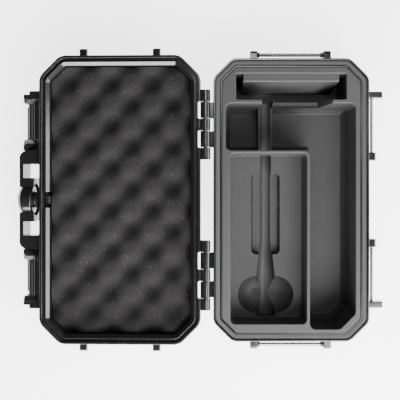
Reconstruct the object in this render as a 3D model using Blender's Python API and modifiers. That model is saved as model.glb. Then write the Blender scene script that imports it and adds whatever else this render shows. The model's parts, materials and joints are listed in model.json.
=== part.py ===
"""Small hard carry case with a fitted insert tray, standing open with its lid laid back on its hinges.

Frame: metres, +Z up, the origin at the centre of the base's underside. +X points to the latch side,
-X to the hinges, and Y runs along the case. The lid's pieces are modelled as if the case were shut,
and an empty on the hinge axis lays them open.
"""

import math

import bmesh
import bpy
from mathutils import Matrix, Vector

mm = 0.001

# ---------------------------------------------------------------- clearances
touch_gap = 0.3 * mm  # between pieces that touch when assembled
bore_gap = 0.3 * mm  # round a pin or a rod in its hole
relief_gap = 0.6 * mm  # round a knuckle that turns past a wall

# ---------------------------------------------------------------- base rim and shell
base_half_x = 62.5 * mm
base_half_y = 113.5 * mm
corner_cut = 15.5 * mm  # leg of the 45-degree corner
corner_radius = 9.0 * mm  # rounding of the corner's two edges
corner_steps = 3
base_height = 58.0 * mm
base_floor = 3.0 * mm
rim_wall = 1.6 * mm  # outer wall of the seal channel
channel_width = 4.3 * mm
channel_depth = 3.6 * mm
inner_lip = 0.9 * mm
flange_height = 7.5 * mm
flange_overhang = 4.0 * mm
base_draft = 1.8 * mm
base_foot_chamfer = 2.6 * mm
gasket_height = 2.1 * mm

# ---------------------------------------------------------------- insert tray
tray_below_rim = 0.6 * mm
tray_corner_radius = 3.0 * mm
trough_margin_end = 5.2 * mm  # from the tray's far end
trough_margin_side = 11.2 * mm
trough_length = 20.5 * mm
trough_depth = 50.0 * mm
trough_corner = 1.0 * mm
trough_draft = 0.6 * mm
block_reach = 6.4 * mm  # how far the ledge block stands into the trough
block_reach_low = 12.0 * mm
block_end_gap = 5.8 * mm
block_depth = 3.0 * mm
cross_wall = 3.2 * mm
well_depth = 52.0 * mm
well_margin_side = 3.9 * mm
well_margin_end = 2.8 * mm
well_top_length = 37.6 * mm
well_corner = 4.4 * mm
well_cut = 12.4 * mm  # the well's 45-degree corner
well_bevel = 3.0 * mm
well_bevel_height = 6.0 * mm
well_draft = 1.5 * mm
shelf_wall = 2.6 * mm
shelf_margin_side = 6.6 * mm
shelf_margin_end = 7.0 * mm
shelf_width = 61.2 * mm
shelf_depth = 30.0 * mm
shelf_corner = 3.8 * mm
shelf_draft = 1.0 * mm
stem_from_left = 36.6 * mm  # the stem's axis from the tray's hinge-side edge
stem_radius = 4.45 * mm
stem_axis_depth = 38.0 * mm
cone_radius = 7.7 * mm
cone_start = 71.7 * mm  # from the tray's near end
cone_end = 42.0 * mm
stem_end_gap = 1.4 * mm  # from the shelf's near wall to the slot's end
stem_exit_ease = 0.1 * mm  # the slot is this much wider through the cross wall
tunnel_above_shelf = 2.0 * mm  # headroom where the stem passes under the shelf's wall
cradle_lip = 1.3 * mm
grip_length = 68.0 * mm
grip_width = 23.9 * mm
grip_from_end = 60.3 * mm
grip_below_shelf = 9.0 * mm
grip_corner = 4.0 * mm
grip_draft = 0.6 * mm
bowl_radius = 15.3 * mm
bowl_spacing = 15.6 * mm
bowl_from_end = 26.8 * mm
bowl_sunk = 0.2 * mm  # centre below the shelf's floor
notch_left = 4.7 * mm  # from the stem's axis to the notch
notch_width = 47.5 * mm
notch_depth = 33.0 * mm
notch_ramp = 8.0 * mm

# ---------------------------------------------------------------- lid shell, as shut
lid_overlap = 2.6 * mm  # how far the lid's skirt stands out past the base's rim
lid_height = 27.0 * mm
lid_roof = 3.0 * mm
skirt_drop = 1.8 * mm  # less than sqrt(2 * hinge_out * touch_gap), so the skirt clears the rim
lid_band_height = 6.5 * mm
lid_band_slope = 1.0 * mm  # half the height of the step above the band
lid_wall_inset = 4.4 * mm
lid_wall_draft = 1.5 * mm
lid_roof_chamfer = 4.4 * mm
seal_rib_width = 0.9 * mm
lid_inner_inset = 8.0 * mm  # inner wall at the foam's face
lid_inner_slope = 1.4 * mm  # the sloping edge above that wall ends this far past the rim plane
foam_below_rim = 6.0 * mm
foam_gap = 0.5 * mm
foam_draft = 1.0 * mm

# ---------------------------------------------------------------- hinges
hinge_out = 6.3 * mm  # axis outboard of the base's rim
hinge_from_end = 53.3 * mm  # from the rim's end to the hinge's middle
knuckle_radius = 4.0 * mm
lid_knuckle = 9.4 * mm
base_knuckle = 13.0 * mm
knuckle_gap = 0.4 * mm
knuckle_notch = 2.2 * mm
hinge_pin_radius = 1.5 * mm
lid_open_deg = 182.0

# ---------------------------------------------------------------- latches, as shut
latch_from_end = 50.2 * mm  # from the rim's end to the latch's middle
latch_width = 29.0 * mm
latch_out = 8.0 * mm  # pivot outboard of the lid's skirt
latch_above_rim = 9.0 * mm
barrel_radius = 2.8 * mm
lever_thickness = 2.6 * mm
lever_length = 29.0 * mm
hook_gap = 0.5 * mm  # between the hook and the keeper rod
hook_thickness = 2.2 * mm
hook_lip = 1.4 * mm
hook_rise = 1.6 * mm
finger_start = 1.5 * mm
finger_flare = 2.5 * mm
finger_drop = 1.0 * mm
finger_height = 4.0 * mm
latch_pin_radius = 1.1 * mm
ear_out = 13.8 * mm
inner_ear_width = 9.0 * mm
outer_ear_width = 7.4 * mm
ear_height = 14.0 * mm
ear_raise = 1.0 * mm  # ear's middle above the pivot
ear_rounding = 3.0 * mm
guard_out = 9.6 * mm
guard_width = 2.7 * mm
rail_out = 2.3 * mm
keeper_radius = 1.25 * mm
keeper_out = 4.0 * mm  # keeper rod's axis outboard of the base's rim
keeper_below_rim = 13.0 * mm
keeper_before = 31.5 * mm  # from the latch's middle to the keeper's ends
keeper_past = 24.1 * mm
short_lug_width = 6.5 * mm
long_lug_width = 5.1 * mm
long_lug_out = 12.3 * mm
lug_height = 12.0 * mm
lug_rounding = 2.0 * mm

# ---------------------------------------------------------------- end lugs and strap bars
strap_lug_x = 29.7 * mm
strap_lug_width = 6.0 * mm
strap_lug_out = 7.2 * mm
strap_lug_rounding = 1.2 * mm
strap_bar_out = 4.3 * mm
strap_bar_radius = 1.5 * mm
collar_radius = 2.2 * mm
collar_width = 1.6 * mm
lid_lug_x = 29.5 * mm
lid_lug_out = 5.6 * mm

# ---------------------------------------------------------------- purge valve and its bumper
bumper_out = 16.6 * mm
bumper_root_out = 2.4 * mm  # outboard of the lid's skirt
bumper_gap = 2.6 * mm  # from the bumper's root to the latch
bumper_slant = 9.4 * mm
bumper_end = 8.0 * mm  # from the bumper's opening to its slanted end
bumper_wall = 3.1 * mm
bumper_over_knob = 3.1 * mm
shroud_wall = 4.5 * mm  # of the ring of material left round the knob
shroud_gap = 2.6 * mm  # from the rail to that ring
bumper_bottom = 2.0 * mm
bumper_roof_slope = 3.0 * mm
valve_above_rim = 10.4 * mm
knob_radius = 12.5 * mm
knob_front = 18.4 * mm  # outboard of the lid's skirt
knob_crown = 4.0 * mm
knob_foot = 1.5 * mm
valve_thread_radius = 3.0 * mm
valve_flange_radius = 6.5 * mm
valve_flange_thickness = 2.0 * mm
valve_seal_thickness = 1.0 * mm
valve_spindle_radius = 2.0 * mm
valve_spindle_length = 4.0 * mm
valve_nut_radius = 5.4 * mm
valve_nut_thickness = 3.0 * mm
valve_seat_half_y = 8.0 * mm
valve_pocket_half_y = 6.4 * mm
valve_pocket_in = 3.9 * mm  # pocket's floor inboard of the lid's skirt

round_steps = 20
open_above = 4.0 * mm  # how far a cutter runs out past the face it opens
cutter_reach = 2.0 * mm  # how far a bore runs out past both its ends

# ---------------------------------------------------------------- places worked out from the sizes
rim_z = base_height
lip_inset = rim_wall + channel_width + inner_lip
tray_inset = lip_inset + touch_gap
tray_x = base_half_x - tray_inset
tray_y = base_half_y - tray_inset
tray_top = rim_z - tray_below_rim
tray_bottom = base_floor + touch_gap
shelf_floor = tray_top - shelf_depth
well_floor = tray_top - well_depth
stem_z = tray_top - stem_axis_depth
stem_x = -tray_x + stem_from_left
lid_half_x = base_half_x + lid_overlap
lid_half_y = base_half_y + lid_overlap
hinge_x = -base_half_x - hinge_out
hinge_axis = Vector((hinge_x, 0.0, rim_z))
hinge_centre_y = base_half_y - hinge_from_end
latch_centre_y = base_half_y - latch_from_end
keeper_from = latch_centre_y - keeper_before
keeper_to = latch_centre_y + keeper_past
rail_half_y = latch_centre_y + latch_width / 2.0 + outer_ear_width + guard_width
bumper_root = latch_centre_y - latch_width / 2.0 - bumper_gap
bumper_face = bumper_root - bumper_slant
bumper_opening = bumper_face - bumper_end
bumper_top = valve_above_rim + knob_radius + bumper_over_knob  # above the rim plane
latch_x = lid_half_x + latch_out
latch_z = rim_z + latch_above_rim
keeper_x = base_half_x + keeper_out
keeper_z = rim_z - keeper_below_rim
rail_x = lid_half_x + rail_out
valve_z = rim_z + valve_above_rim

sides = {"upper": 1, "lower": -1}


# ================================================================ scene and materials
def clear_scene():
    for obj in list(bpy.data.objects):
        bpy.data.objects.remove(obj, do_unlink=True)


def make_collection(name):
    made = bpy.data.collections.new(name)
    bpy.context.scene.collection.children.link(made)
    return made


def make_material(name, colour, roughness, metallic=0.0):
    made = bpy.data.materials.new(name)
    made.use_nodes = True
    shader = made.node_tree.nodes["Principled BSDF"]
    shader.inputs["Base Color"].default_value = (*colour, 1.0)
    shader.inputs["Roughness"].default_value = roughness
    shader.inputs["Metallic"].default_value = metallic
    return made


clear_scene()
parts = make_collection("carry_case")
cutters = make_collection("cutters")
gloss_black = make_material("gloss_black", (0.012, 0.012, 0.013), 0.22)
tray_grey = make_material("tray_grey", (0.085, 0.085, 0.087), 0.62)
seal_grey = make_material("seal_grey", (0.16, 0.16, 0.16), 0.7)
foam_charcoal = make_material("foam_charcoal", (0.05, 0.048, 0.048), 0.95)
satin_black = make_material("satin_black", (0.03, 0.03, 0.032), 0.45)
steel = make_material("steel", (0.5, 0.5, 0.51), 0.3, 1.0)

lid_pivot = bpy.data.objects.new("lid_pivot", None)
parts.objects.link(lid_pivot)
lid_pivot.location = hinge_axis
lid_pivot.rotation_euler = (0.0, -math.radians(lid_open_deg), 0.0)


# ================================================================ outlines, lofts and solids
def inset_corners(corners, distance):
    """Moves every side of a counter-clockwise outline inwards by the distance."""
    moved = []
    count = len(corners)
    for index, corner in enumerate(corners):
        into = (corner - corners[index - 1]).normalized()
        out = (corners[(index + 1) % count] - corner).normalized()
        normal_in = Vector((-into.y, into.x))
        normal_out = Vector((-out.y, out.x))
        share = distance / (1.0 + normal_in.dot(normal_out))
        moved.append(corner + (normal_in + normal_out) * share)
    return moved


def rounded(corners, radius, steps=corner_steps):
    """Replaces each corner by an arc tangent to its two sides."""
    points = []
    count = len(corners)
    for index, corner in enumerate(corners):
        back = (corners[index - 1] - corner).normalized()
        ahead = (corners[(index + 1) % count] - corner).normalized()
        half = back.angle(ahead) / 2.0
        centre = corner + (back + ahead).normalized() * (radius / math.sin(half))
        start = corner + back * (radius / math.tan(half)) - centre
        end = corner + ahead * (radius / math.tan(half)) - centre
        first = math.atan2(start.y, start.x)
        sweep = (math.atan2(end.y, end.x) - first + math.pi) % (2.0 * math.pi) - math.pi
        for step in range(steps + 1):
            angle = first + sweep * step / steps
            points.append(centre + Vector((math.cos(angle), math.sin(angle))) * radius)
    return points


def case_corners(half_x, half_y, cut):
    """A rectangle with its four corners cut off at 45 degrees, counter-clockwise."""
    return [
        Vector((half_x, -half_y + cut)),
        Vector((half_x, half_y - cut)),
        Vector((half_x - cut, half_y)),
        Vector((-half_x + cut, half_y)),
        Vector((-half_x, half_y - cut)),
        Vector((-half_x, -half_y + cut)),
        Vector((-half_x + cut, -half_y)),
        Vector((half_x - cut, -half_y)),
    ]


def box_corners(low_x, high_x, low_y, high_y):
    return [
        Vector((high_x, low_y)),
        Vector((high_x, high_y)),
        Vector((low_x, high_y)),
        Vector((low_x, low_y)),
    ]


def ring(corners, inset, z, radius, steps=corner_steps):
    flat = rounded(inset_corners(corners, inset), radius, steps)
    return [Vector((point.x, point.y, z)) for point in flat]


def base_ring(inset, z):
    corners = case_corners(base_half_x, base_half_y, corner_cut)
    return ring(corners, inset, z, max(corner_radius - inset, tray_corner_radius))


def lid_ring(inset, z):
    return base_ring(inset - lid_overlap, z)


def add_mesh(name, bm, material, collection):
    mesh = bpy.data.meshes.new(name)
    bm.to_mesh(mesh)
    bm.free()
    mesh.materials.append(material)
    obj = bpy.data.objects.new(name, mesh)
    collection.objects.link(obj)
    return obj


def loft(name, rings, material, collection=parts, looped=False):
    """A solid through rings of equal count, capped at both ends or closed on itself."""
    bm = bmesh.new()
    rows = [[bm.verts.new(point) for point in points] for points in rings]
    pairs = list(zip(rows, rows[1:]))
    if looped:
        pairs.append((rows[-1], rows[0]))
    for low, high in pairs:
        for index in range(len(low)):
            after = (index + 1) % len(low)
            bm.faces.new((low[index], low[after], high[after], high[index]))
    if not looped:
        bm.faces.new(list(reversed(rows[0])))
        bm.faces.new(rows[-1])
    bmesh.ops.recalc_face_normals(bm, faces=bm.faces)
    return add_mesh(name, bm, material, collection)


def box(name, low, high, material, collection=parts):
    bm = bmesh.new()
    bmesh.ops.create_cube(bm, size=1.0)
    size = Vector(high) - Vector(low)
    middle = (Vector(high) + Vector(low)) / 2.0
    for vertex in bm.verts:
        vertex.co = Vector(part * side for part, side in zip(vertex.co, size)) + middle
    return add_mesh(name, bm, material, collection)


def rod(name, start, end, radius, material, collection=parts, steps=round_steps, end_radius=None):
    """A round bar, or a cone, from start to end."""
    start, end = Vector(start), Vector(end)
    bm = bmesh.new()
    bmesh.ops.create_cone(
        bm,
        cap_ends=True,
        segments=steps,
        radius1=radius,
        radius2=radius if end_radius is None else end_radius,
        depth=(end - start).length,
    )
    turn = (end - start).to_track_quat("Z", "Y").to_matrix().to_4x4()
    bm.transform(Matrix.Translation((start + end) / 2.0) @ turn)
    return add_mesh(name, bm, material, collection)


def prism_y(name, profile, low_y, high_y, material, collection=parts):
    """An (x, z) outline carried along Y."""
    bm = bmesh.new()
    near = [bm.verts.new((x, low_y, z)) for x, z in profile]
    far = [bm.verts.new((x, high_y, z)) for x, z in profile]
    for index in range(len(profile)):
        after = (index + 1) % len(profile)
        bm.faces.new((near[index], near[after], far[after], far[index]))
    bm.faces.new(near)
    bm.faces.new(list(reversed(far)))
    bmesh.ops.recalc_face_normals(bm, faces=bm.faces)
    return add_mesh(name, bm, material, collection)


def prism_z(name, corners, low_z, high_z, material, collection=parts):
    rings = [[Vector((point.x, point.y, z)) for point in corners] for z in (low_z, high_z)]
    return loft(name, rings, material, collection)


def boolean(target, tool, operation):
    """Cuts the tool from the target, or joins it on, and keeps the tool as a hidden guide."""
    for owner in list(tool.users_collection):
        owner.objects.unlink(tool)
    cutters.objects.link(tool)
    tool.hide_render = True
    tool.display_type = "WIRE"
    step = target.modifiers.new(operation.lower(), "BOOLEAN")
    step.operation = operation
    step.object = tool


def cut(target, *tools):
    for tool in tools:
        boolean(target, tool, "DIFFERENCE")


def join(target, *tools):
    for tool in tools:
        boolean(target, tool, "UNION")


def lay_open(*objects):
    """Hangs pieces made in the shut case's frame on the lid's pivot."""
    for obj in objects:
        obj.parent = lid_pivot
        obj.location = -hinge_axis
        for step in obj.modifiers:
            step.object.parent = lid_pivot
            step.object.location = -hinge_axis


# ================================================================ hinges
def knuckle_spans(side):
    """The Y spans of one hinge's five knuckles, in order, the first and last on the lid."""
    widths = [lid_knuckle, base_knuckle, lid_knuckle, base_knuckle, lid_knuckle]
    total = sum(widths) + knuckle_gap * (len(widths) - 1)
    start = side * hinge_centre_y - total / 2.0
    spans = []
    for width in widths:
        spans.append((start, start + width))
        start += width + knuckle_gap
    return spans


def knuckle(name, span, arm_profile):
    barrel = rod(
        name, (hinge_x, span[0], rim_z), (hinge_x, span[1], rim_z), knuckle_radius, gloss_black
    )
    arm = prism_y(name + "_arm", arm_profile, span[0], span[1], gloss_black)
    return barrel, arm


def base_arm_profile():
    """Runs from the barrel's underside to the base's wall, below the shut lid's skirt."""
    wall_x = -base_half_x + flange_overhang + base_floor / 2.0
    rim_x = -base_half_x + rim_wall / 2.0
    top = rim_z - skirt_drop - relief_gap
    below_channel = rim_z - channel_depth - mm
    return [
        (hinge_x - 0.4 * knuckle_radius, rim_z - 0.6 * knuckle_radius),
        (hinge_x + 0.2 * knuckle_radius, rim_z - 0.9 * knuckle_radius),
        (wall_x, rim_z - flange_height - knuckle_radius),
        (wall_x, below_channel),
        (rim_x, below_channel),
        (rim_x, top),
        (hinge_x + 0.3 * knuckle_radius, top),
    ]


def lid_arm_profile():
    """Runs from the barrel's upper side to the shut lid's band, above the base's rim."""
    wall_x = -lid_half_x + rim_wall
    low = rim_z + relief_gap
    high = rim_z + lid_band_height - relief_gap
    return [
        (hinge_x + 0.3 * knuckle_radius, low),
        (wall_x, low),
        (wall_x, high),
        (hinge_x + 0.5 * knuckle_radius, rim_z + 0.8 * knuckle_radius),
        (hinge_x - 0.4 * knuckle_radius, rim_z + 0.6 * knuckle_radius),
    ]


def hinge_bore(side):
    spans = knuckle_spans(side)
    low = (hinge_x, spans[0][0] - knuckle_radius, rim_z)
    high = (hinge_x, spans[-1][1] + knuckle_radius, rim_z)
    return rod("hinge_bore", low, high, hinge_pin_radius + bore_gap, steel)


def make_hinge_pin(side_name, side):
    spans = knuckle_spans(side)
    low = (hinge_x, spans[0][0] + touch_gap, rim_z)
    high = (hinge_x, spans[-1][1] - touch_gap, rim_z)
    rod("hinge_pin_" + side_name, low, high, hinge_pin_radius, steel)


# ================================================================ base
def add_base_knuckles(shell):
    for side in sides.values():
        for span in knuckle_spans(side)[1::2]:
            join(shell, *knuckle("base_knuckle", span, base_arm_profile()))
        cut(shell, hinge_bore(side))


def lug_profile(root_x, tip_x, middle_z, height, rounding):
    """A lug seen from its end, rounded at the tip."""
    low, high = middle_z - height / 2.0, middle_z + height / 2.0
    return [
        (root_x, low),
        (tip_x - rounding, low),
        (tip_x, low + rounding),
        (tip_x, high - rounding),
        (tip_x - rounding, high),
        (root_x, high),
    ]


def add_keeper_lugs(shell, side):
    root_x = base_half_x - flange_overhang - base_floor / 2.0
    short_tip = keeper_x + keeper_radius + rim_wall
    long_tip = base_half_x + long_lug_out
    spans = [
        (keeper_from, keeper_from + short_lug_width, short_tip),
        (keeper_to - long_lug_width, keeper_to, long_tip),
    ]
    for near, far, tip in spans:
        low, high = sorted((side * near, side * far))
        profile = lug_profile(root_x, tip, keeper_z, lug_height, lug_rounding)
        join(shell, prism_y("keeper_lug", profile, low, high, gloss_black))
    ends = (side * (keeper_from - mm), side * (keeper_to + mm))
    bore = keeper_radius + bore_gap
    low = (keeper_x, min(ends), keeper_z)
    high = (keeper_x, max(ends), keeper_z)
    cut(shell, rod("keeper_bore", low, high, bore, steel))


def make_keeper_rod(side_name, side):
    ends = sorted((side * (keeper_from + touch_gap), side * (keeper_to - touch_gap)))
    low = (keeper_x, ends[0], keeper_z)
    high = (keeper_x, ends[1], keeper_z)
    rod("keeper_rod_" + side_name, low, high, keeper_radius, steel)


def strap_lug(name, x, width, root_y, tip_y, middle_z, height):
    """A flat lug that stands out of one end of the case."""
    low, high = sorted((root_y, tip_y))
    lug = box(
        name,
        (x - width / 2.0, low, middle_z - height / 2.0),
        (x + width / 2.0, high, middle_z + height / 2.0),
        gloss_black,
    )
    bevel = lug.modifiers.new("rounding", "BEVEL")
    bevel.width = strap_lug_rounding
    bevel.segments = 1
    return lug


def strap_bar_y(side):
    return side * (base_half_y + strap_bar_out)


def add_strap_lugs(shell, side):
    root = side * (base_half_y - flange_overhang - base_floor / 2.0)
    tip = side * (base_half_y + strap_lug_out)
    for x in (-strap_lug_x, strap_lug_x):
        join(shell, strap_lug("strap_lug", x, strap_lug_width, root, tip, keeper_z, lug_height))
    reach = strap_lug_x + strap_lug_width
    ends = [(end, strap_bar_y(side), keeper_z) for end in (-reach, reach)]
    cut(shell, rod("strap_bore", *ends, strap_bar_radius + bore_gap, steel))


def make_strap_bar(side_name, side):
    reach = strap_lug_x + strap_lug_width / 2.0 - touch_gap
    ends = [(end, strap_bar_y(side), keeper_z) for end in (-reach, reach)]
    rod("strap_bar_" + side_name, *ends, strap_bar_radius, steel)


def make_bar_collar(name, start_x, bar_y):
    """A push-on ring that keeps a strap bar from sliding out."""
    middle = (start_x, bar_y, keeper_z)
    end = (start_x + collar_width, bar_y, keeper_z)
    collar = rod(name, middle, end, collar_radius, satin_black, steps=16)
    start = (start_x - collar_width, bar_y, keeper_z)
    end = (start_x + 2.0 * collar_width, bar_y, keeper_z)
    cut(collar, rod("collar_bore", start, end, strap_bar_radius + touch_gap, steel, steps=16))


def make_bar_collars(side_name, side):
    near = strap_lug_x - strap_lug_width / 2.0 - touch_gap - collar_width
    make_bar_collar(f"bar_collar_{side_name}_hinge", -near - collar_width, strap_bar_y(side))
    make_bar_collar(f"bar_collar_{side_name}_latch", near, strap_bar_y(side))


def make_base_shell():
    channel_outer = rim_wall
    channel_inner = rim_wall + channel_width
    rings = [
        base_ring(flange_overhang + base_draft + base_foot_chamfer, 0.0),
        base_ring(flange_overhang + base_draft, base_foot_chamfer),
        base_ring(flange_overhang, rim_z - flange_height),
        base_ring(0.0, rim_z - flange_height + flange_overhang / 2.0),
        base_ring(0.0, rim_z),
        base_ring(channel_outer, rim_z),
        base_ring(channel_outer, rim_z - channel_depth),
        base_ring(channel_inner, rim_z - channel_depth),
        base_ring(channel_inner, rim_z - tray_below_rim),
        base_ring(lip_inset, rim_z - tray_below_rim),
        base_ring(lip_inset + base_draft, base_floor),
    ]
    shell = loft("base_shell", rings, gloss_black)
    add_base_knuckles(shell)
    for side in sides.values():
        add_keeper_lugs(shell, side)
        add_strap_lugs(shell, side)
    return shell


def make_gasket():
    outer = rim_wall + touch_gap
    inner = rim_wall + channel_width - touch_gap
    low = rim_z - channel_depth + touch_gap
    high = low + gasket_height
    rings = [
        base_ring(outer, low),
        base_ring(outer, high),
        base_ring(inner, high),
        base_ring(inner, low),
    ]
    loft("rim_gasket", rings, seal_grey, looped=True)


# ================================================================ insert tray
def drafted_pocket(name, corners, floor_z, radius, draft, bevel=0.0, bevel_height=0.0):
    """A pocket's cutter: open above the tray, with leaning walls and an optional bevelled foot."""
    foot_z = floor_z + bevel_height
    past_top = draft * open_above / (tray_top - foot_z)
    rings = [ring(corners, draft, foot_z, radius), ring(corners, -past_top, tray_top + open_above, radius)]
    if bevel > 0.0:
        rings.insert(0, ring(corners, draft + bevel, floor_z, radius))
    return loft(name, rings, tray_grey)


def shelf_bounds():
    low_x = -tray_x + shelf_margin_side
    low_y = -tray_y + shelf_margin_end
    return low_x, low_x + shelf_width, low_y, well_bounds()[2] - shelf_wall


def well_bounds():
    """(low x, high x, y of the long wall's face, high y) of the L-shaped well."""
    high_y = tray_y - trough_margin_end - trough_length - cross_wall
    return -tray_x + well_margin_end, tray_x - well_margin_side, high_y - well_top_length, high_y


def well_cutter():
    low_x, high_x, step_y, high_y = well_bounds()
    low_y = -tray_y + well_margin_end
    column_x = shelf_bounds()[1] + shelf_wall
    corners = [
        Vector((high_x, low_y + well_cut)),
        Vector((high_x, high_y)),
        Vector((low_x, high_y)),
        Vector((low_x, step_y)),
        Vector((column_x, step_y)),
        Vector((column_x, low_y)),
        Vector((high_x - well_cut, low_y)),
    ]
    return drafted_pocket(
        "well", corners, well_floor, well_corner, well_draft, well_bevel, well_bevel_height
    )


def trough_bounds():
    reach_x = tray_x - trough_margin_side
    high_y = tray_y - trough_margin_end
    return -reach_x, reach_x, high_y - trough_length, high_y


def trough_cutter():
    corners = box_corners(*trough_bounds())
    return drafted_pocket("trough", corners, tray_top - trough_depth, trough_corner, trough_draft)


def ledge_block():
    """The block that stands into the trough, its face leaning in towards the bottom."""
    low_x, high_x, _, high_y = trough_bounds()
    top = tray_top - tray_below_rim
    bottom = tray_top - trough_depth - mm
    rings = []
    edge = (block_reach, top - block_depth)
    for reach, z in ((block_reach_low, bottom), edge, (block_reach, top)):
        corners = box_corners(low_x + block_end_gap, high_x - block_end_gap, high_y - reach, high_y + mm)
        rings.append([Vector((point.x, point.y, z)) for point in corners])
    return loft("ledge_block", rings, tray_grey)


def shelf_cutter():
    return drafted_pocket("shelf", box_corners(*shelf_bounds()), shelf_floor, shelf_corner, shelf_draft)


def stem_slot(name, stations, top_z):
    """A round-bottomed slot along Y through (y, radius) stations, open up to top_z."""
    steps = 10
    rows = []
    for y, reach in stations:
        row = [Vector((stem_x - reach, y, top_z))]
        for step in range(steps + 1):
            angle = math.pi + math.pi * step / steps
            row.append(Vector((stem_x + reach * math.cos(angle), y, stem_z + reach * math.sin(angle))))
        row.append(Vector((stem_x + reach, y, top_z)))
        rows.append(row)
    return loft(name, rows, tray_grey)


def cradle_rib():
    """The rib that carries the stem's groove across the well."""
    _, _, step_y, high_y = well_bounds()
    half = stem_radius + cradle_lip
    return box(
        "cradle_rib",
        (stem_x - half, step_y - mm, well_floor - mm),
        (stem_x + half, high_y + mm, stem_z),
        tray_grey,
    )


def notch_cutter():
    """Lowers the wall between trough and well, with a ramp at its latch-side end."""
    _, _, _, low_y = well_bounds()
    left = stem_x + notch_left
    bottom = tray_top - notch_depth
    over = tray_top + open_above
    profile = [
        (left, bottom),
        (left + notch_width - notch_ramp, bottom),
        (left + notch_width, tray_top),
        (left + notch_width, over),
        (left, over),
    ]
    return prism_y("notch", profile, low_y - mm, low_y + cross_wall + mm, tray_grey)


def grip_cutter():
    low_y = -tray_y + grip_from_end
    corners = box_corners(stem_x - grip_width / 2.0, stem_x + grip_width / 2.0, low_y, low_y + grip_length)
    low = ring(corners, grip_draft, shelf_floor - grip_below_shelf, grip_corner)
    high = ring(corners, 0.0, shelf_floor + tunnel_above_shelf, grip_corner)
    return loft("grip_recess", [low, high], tray_grey)


def bowl_cutter(x):
    bm = bmesh.new()
    bmesh.ops.create_uvsphere(bm, u_segments=28, v_segments=14, radius=bowl_radius)
    bm.transform(Matrix.Translation((x, -tray_y + bowl_from_end, shelf_floor - bowl_sunk)))
    return add_mesh("bowl", bm, tray_grey, parts)


def make_insert_tray():
    corners = case_corners(base_half_x, base_half_y, corner_cut)
    low_inset = tray_inset + base_draft
    rings = [
        ring(corners, low_inset, tray_bottom, tray_corner_radius),
        ring(corners, tray_inset, tray_top, tray_corner_radius),
    ]
    tray = loft("insert_tray", rings, tray_grey)
    cut(tray, well_cutter())
    join(tray, cradle_rib())
    cut(tray, trough_cutter())
    join(tray, ledge_block())
    cut(tray, shelf_cutter(), grip_cutter())
    for offset in (-bowl_spacing / 2.0, bowl_spacing / 2.0):
        cut(tray, bowl_cutter(stem_x + offset))
    wall_far = well_bounds()[3] + cross_wall + mm
    stations = [
        (shelf_bounds()[2] + stem_end_gap, cone_radius),
        (-tray_y + cone_end, cone_radius),
        (-tray_y + cone_start, stem_radius),
        (wall_far, stem_radius),
    ]
    exit_radius = stem_radius + stem_exit_ease
    exit_stations = [(wall_far - cross_wall - 2.0 * mm, exit_radius), (wall_far + mm, exit_radius)]
    cut(
        tray,
        stem_slot("stem_slot", stations, shelf_floor + tunnel_above_shelf),
        stem_slot("stem_exit", exit_stations, tray_top + open_above),
        notch_cutter(),
    )


# ================================================================ lid, modelled shut
def make_lid_shell():
    wall_in = lid_overlap + rim_wall + touch_gap
    rings = [
        lid_ring(lid_inner_inset + foam_draft, rim_z + lid_height - lid_roof),
        lid_ring(lid_inner_inset, rim_z + foam_below_rim),
        lid_ring(lid_inner_inset, rim_z + lid_inner_slope),
        lid_ring(wall_in + seal_rib_width, rim_z - gasket_reach()),
        lid_ring(wall_in, rim_z - gasket_reach()),
        lid_ring(wall_in, rim_z + touch_gap),
        lid_ring(lid_overlap - touch_gap, rim_z + touch_gap),
        lid_ring(lid_overlap - touch_gap, rim_z - skirt_drop),
        lid_ring(0.0, rim_z - skirt_drop),
        lid_ring(0.0, rim_z + lid_band_height - lid_band_slope),
        lid_ring(lid_wall_inset, rim_z + lid_band_height + lid_band_slope),
        lid_ring(lid_wall_inset + lid_wall_draft, rim_z + lid_height - lid_roof_chamfer),
        lid_ring(lid_wall_inset + lid_wall_draft + lid_roof_chamfer, rim_z + lid_height),
    ]
    shell = loft("lid_shell", rings, gloss_black)
    join(shell, front_rail())
    join(shell, bumper_solid())
    cut(shell, *bumper_openings())
    for side in sides.values():
        add_latch_ears(shell, side)
        add_lid_lugs(shell, side)
    for side in sides.values():
        spans = knuckle_spans(side)
        for span in spans[1::2]:
            cut(shell, knuckle_relief(span))
        for span in spans[0::2]:
            join(shell, *knuckle("lid_knuckle", span, lid_arm_profile()))
        cut(shell, hinge_bore(side))
    cut(shell, *valve_cutters())
    lay_open(shell)
    return shell


def gasket_reach():
    """How far the lid's rib reaches below the rim plane, just clear of the gasket."""
    return channel_depth - touch_gap - gasket_height - touch_gap


def front_rail():
    inside = lid_half_x - lid_wall_inset - rim_wall
    low, high = rim_z + bumper_bottom, rim_z + lid_height - lid_roof_chamfer - mm
    profile = [
        (inside, low),
        (rail_x - mm, low),
        (rail_x, low + mm),
        (rail_x, high - bumper_roof_slope),
        (inside, high),
    ]
    return prism_y("front_rail", profile, -rail_half_y, rail_half_y, gloss_black)


def bumper_outline(inset):
    """The bumper seen along Z: a trapezium on the lid's front."""
    front = lid_half_x + bumper_out - inset
    root = lid_half_x - lid_wall_inset - rim_wall
    return [
        Vector((root, -bumper_root)),
        Vector((lid_half_x + bumper_root_out, -bumper_root)),
        Vector((front, -bumper_face)),
        Vector((front, bumper_face)),
        Vector((lid_half_x + bumper_root_out, bumper_root)),
        Vector((root, bumper_root)),
    ]


def bumper_solid():
    low, high = rim_z + bumper_bottom, rim_z + bumper_top
    slope = bumper_roof_slope
    stations = [(mm, low), (0.0, low + mm), (0.0, high - slope), (slope, high)]
    rings = []
    for inset, z in stations:
        rings.append([Vector((point.x, point.y, z)) for point in bumper_outline(inset)])
    return loft("bumper", rings, gloss_black)


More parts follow.
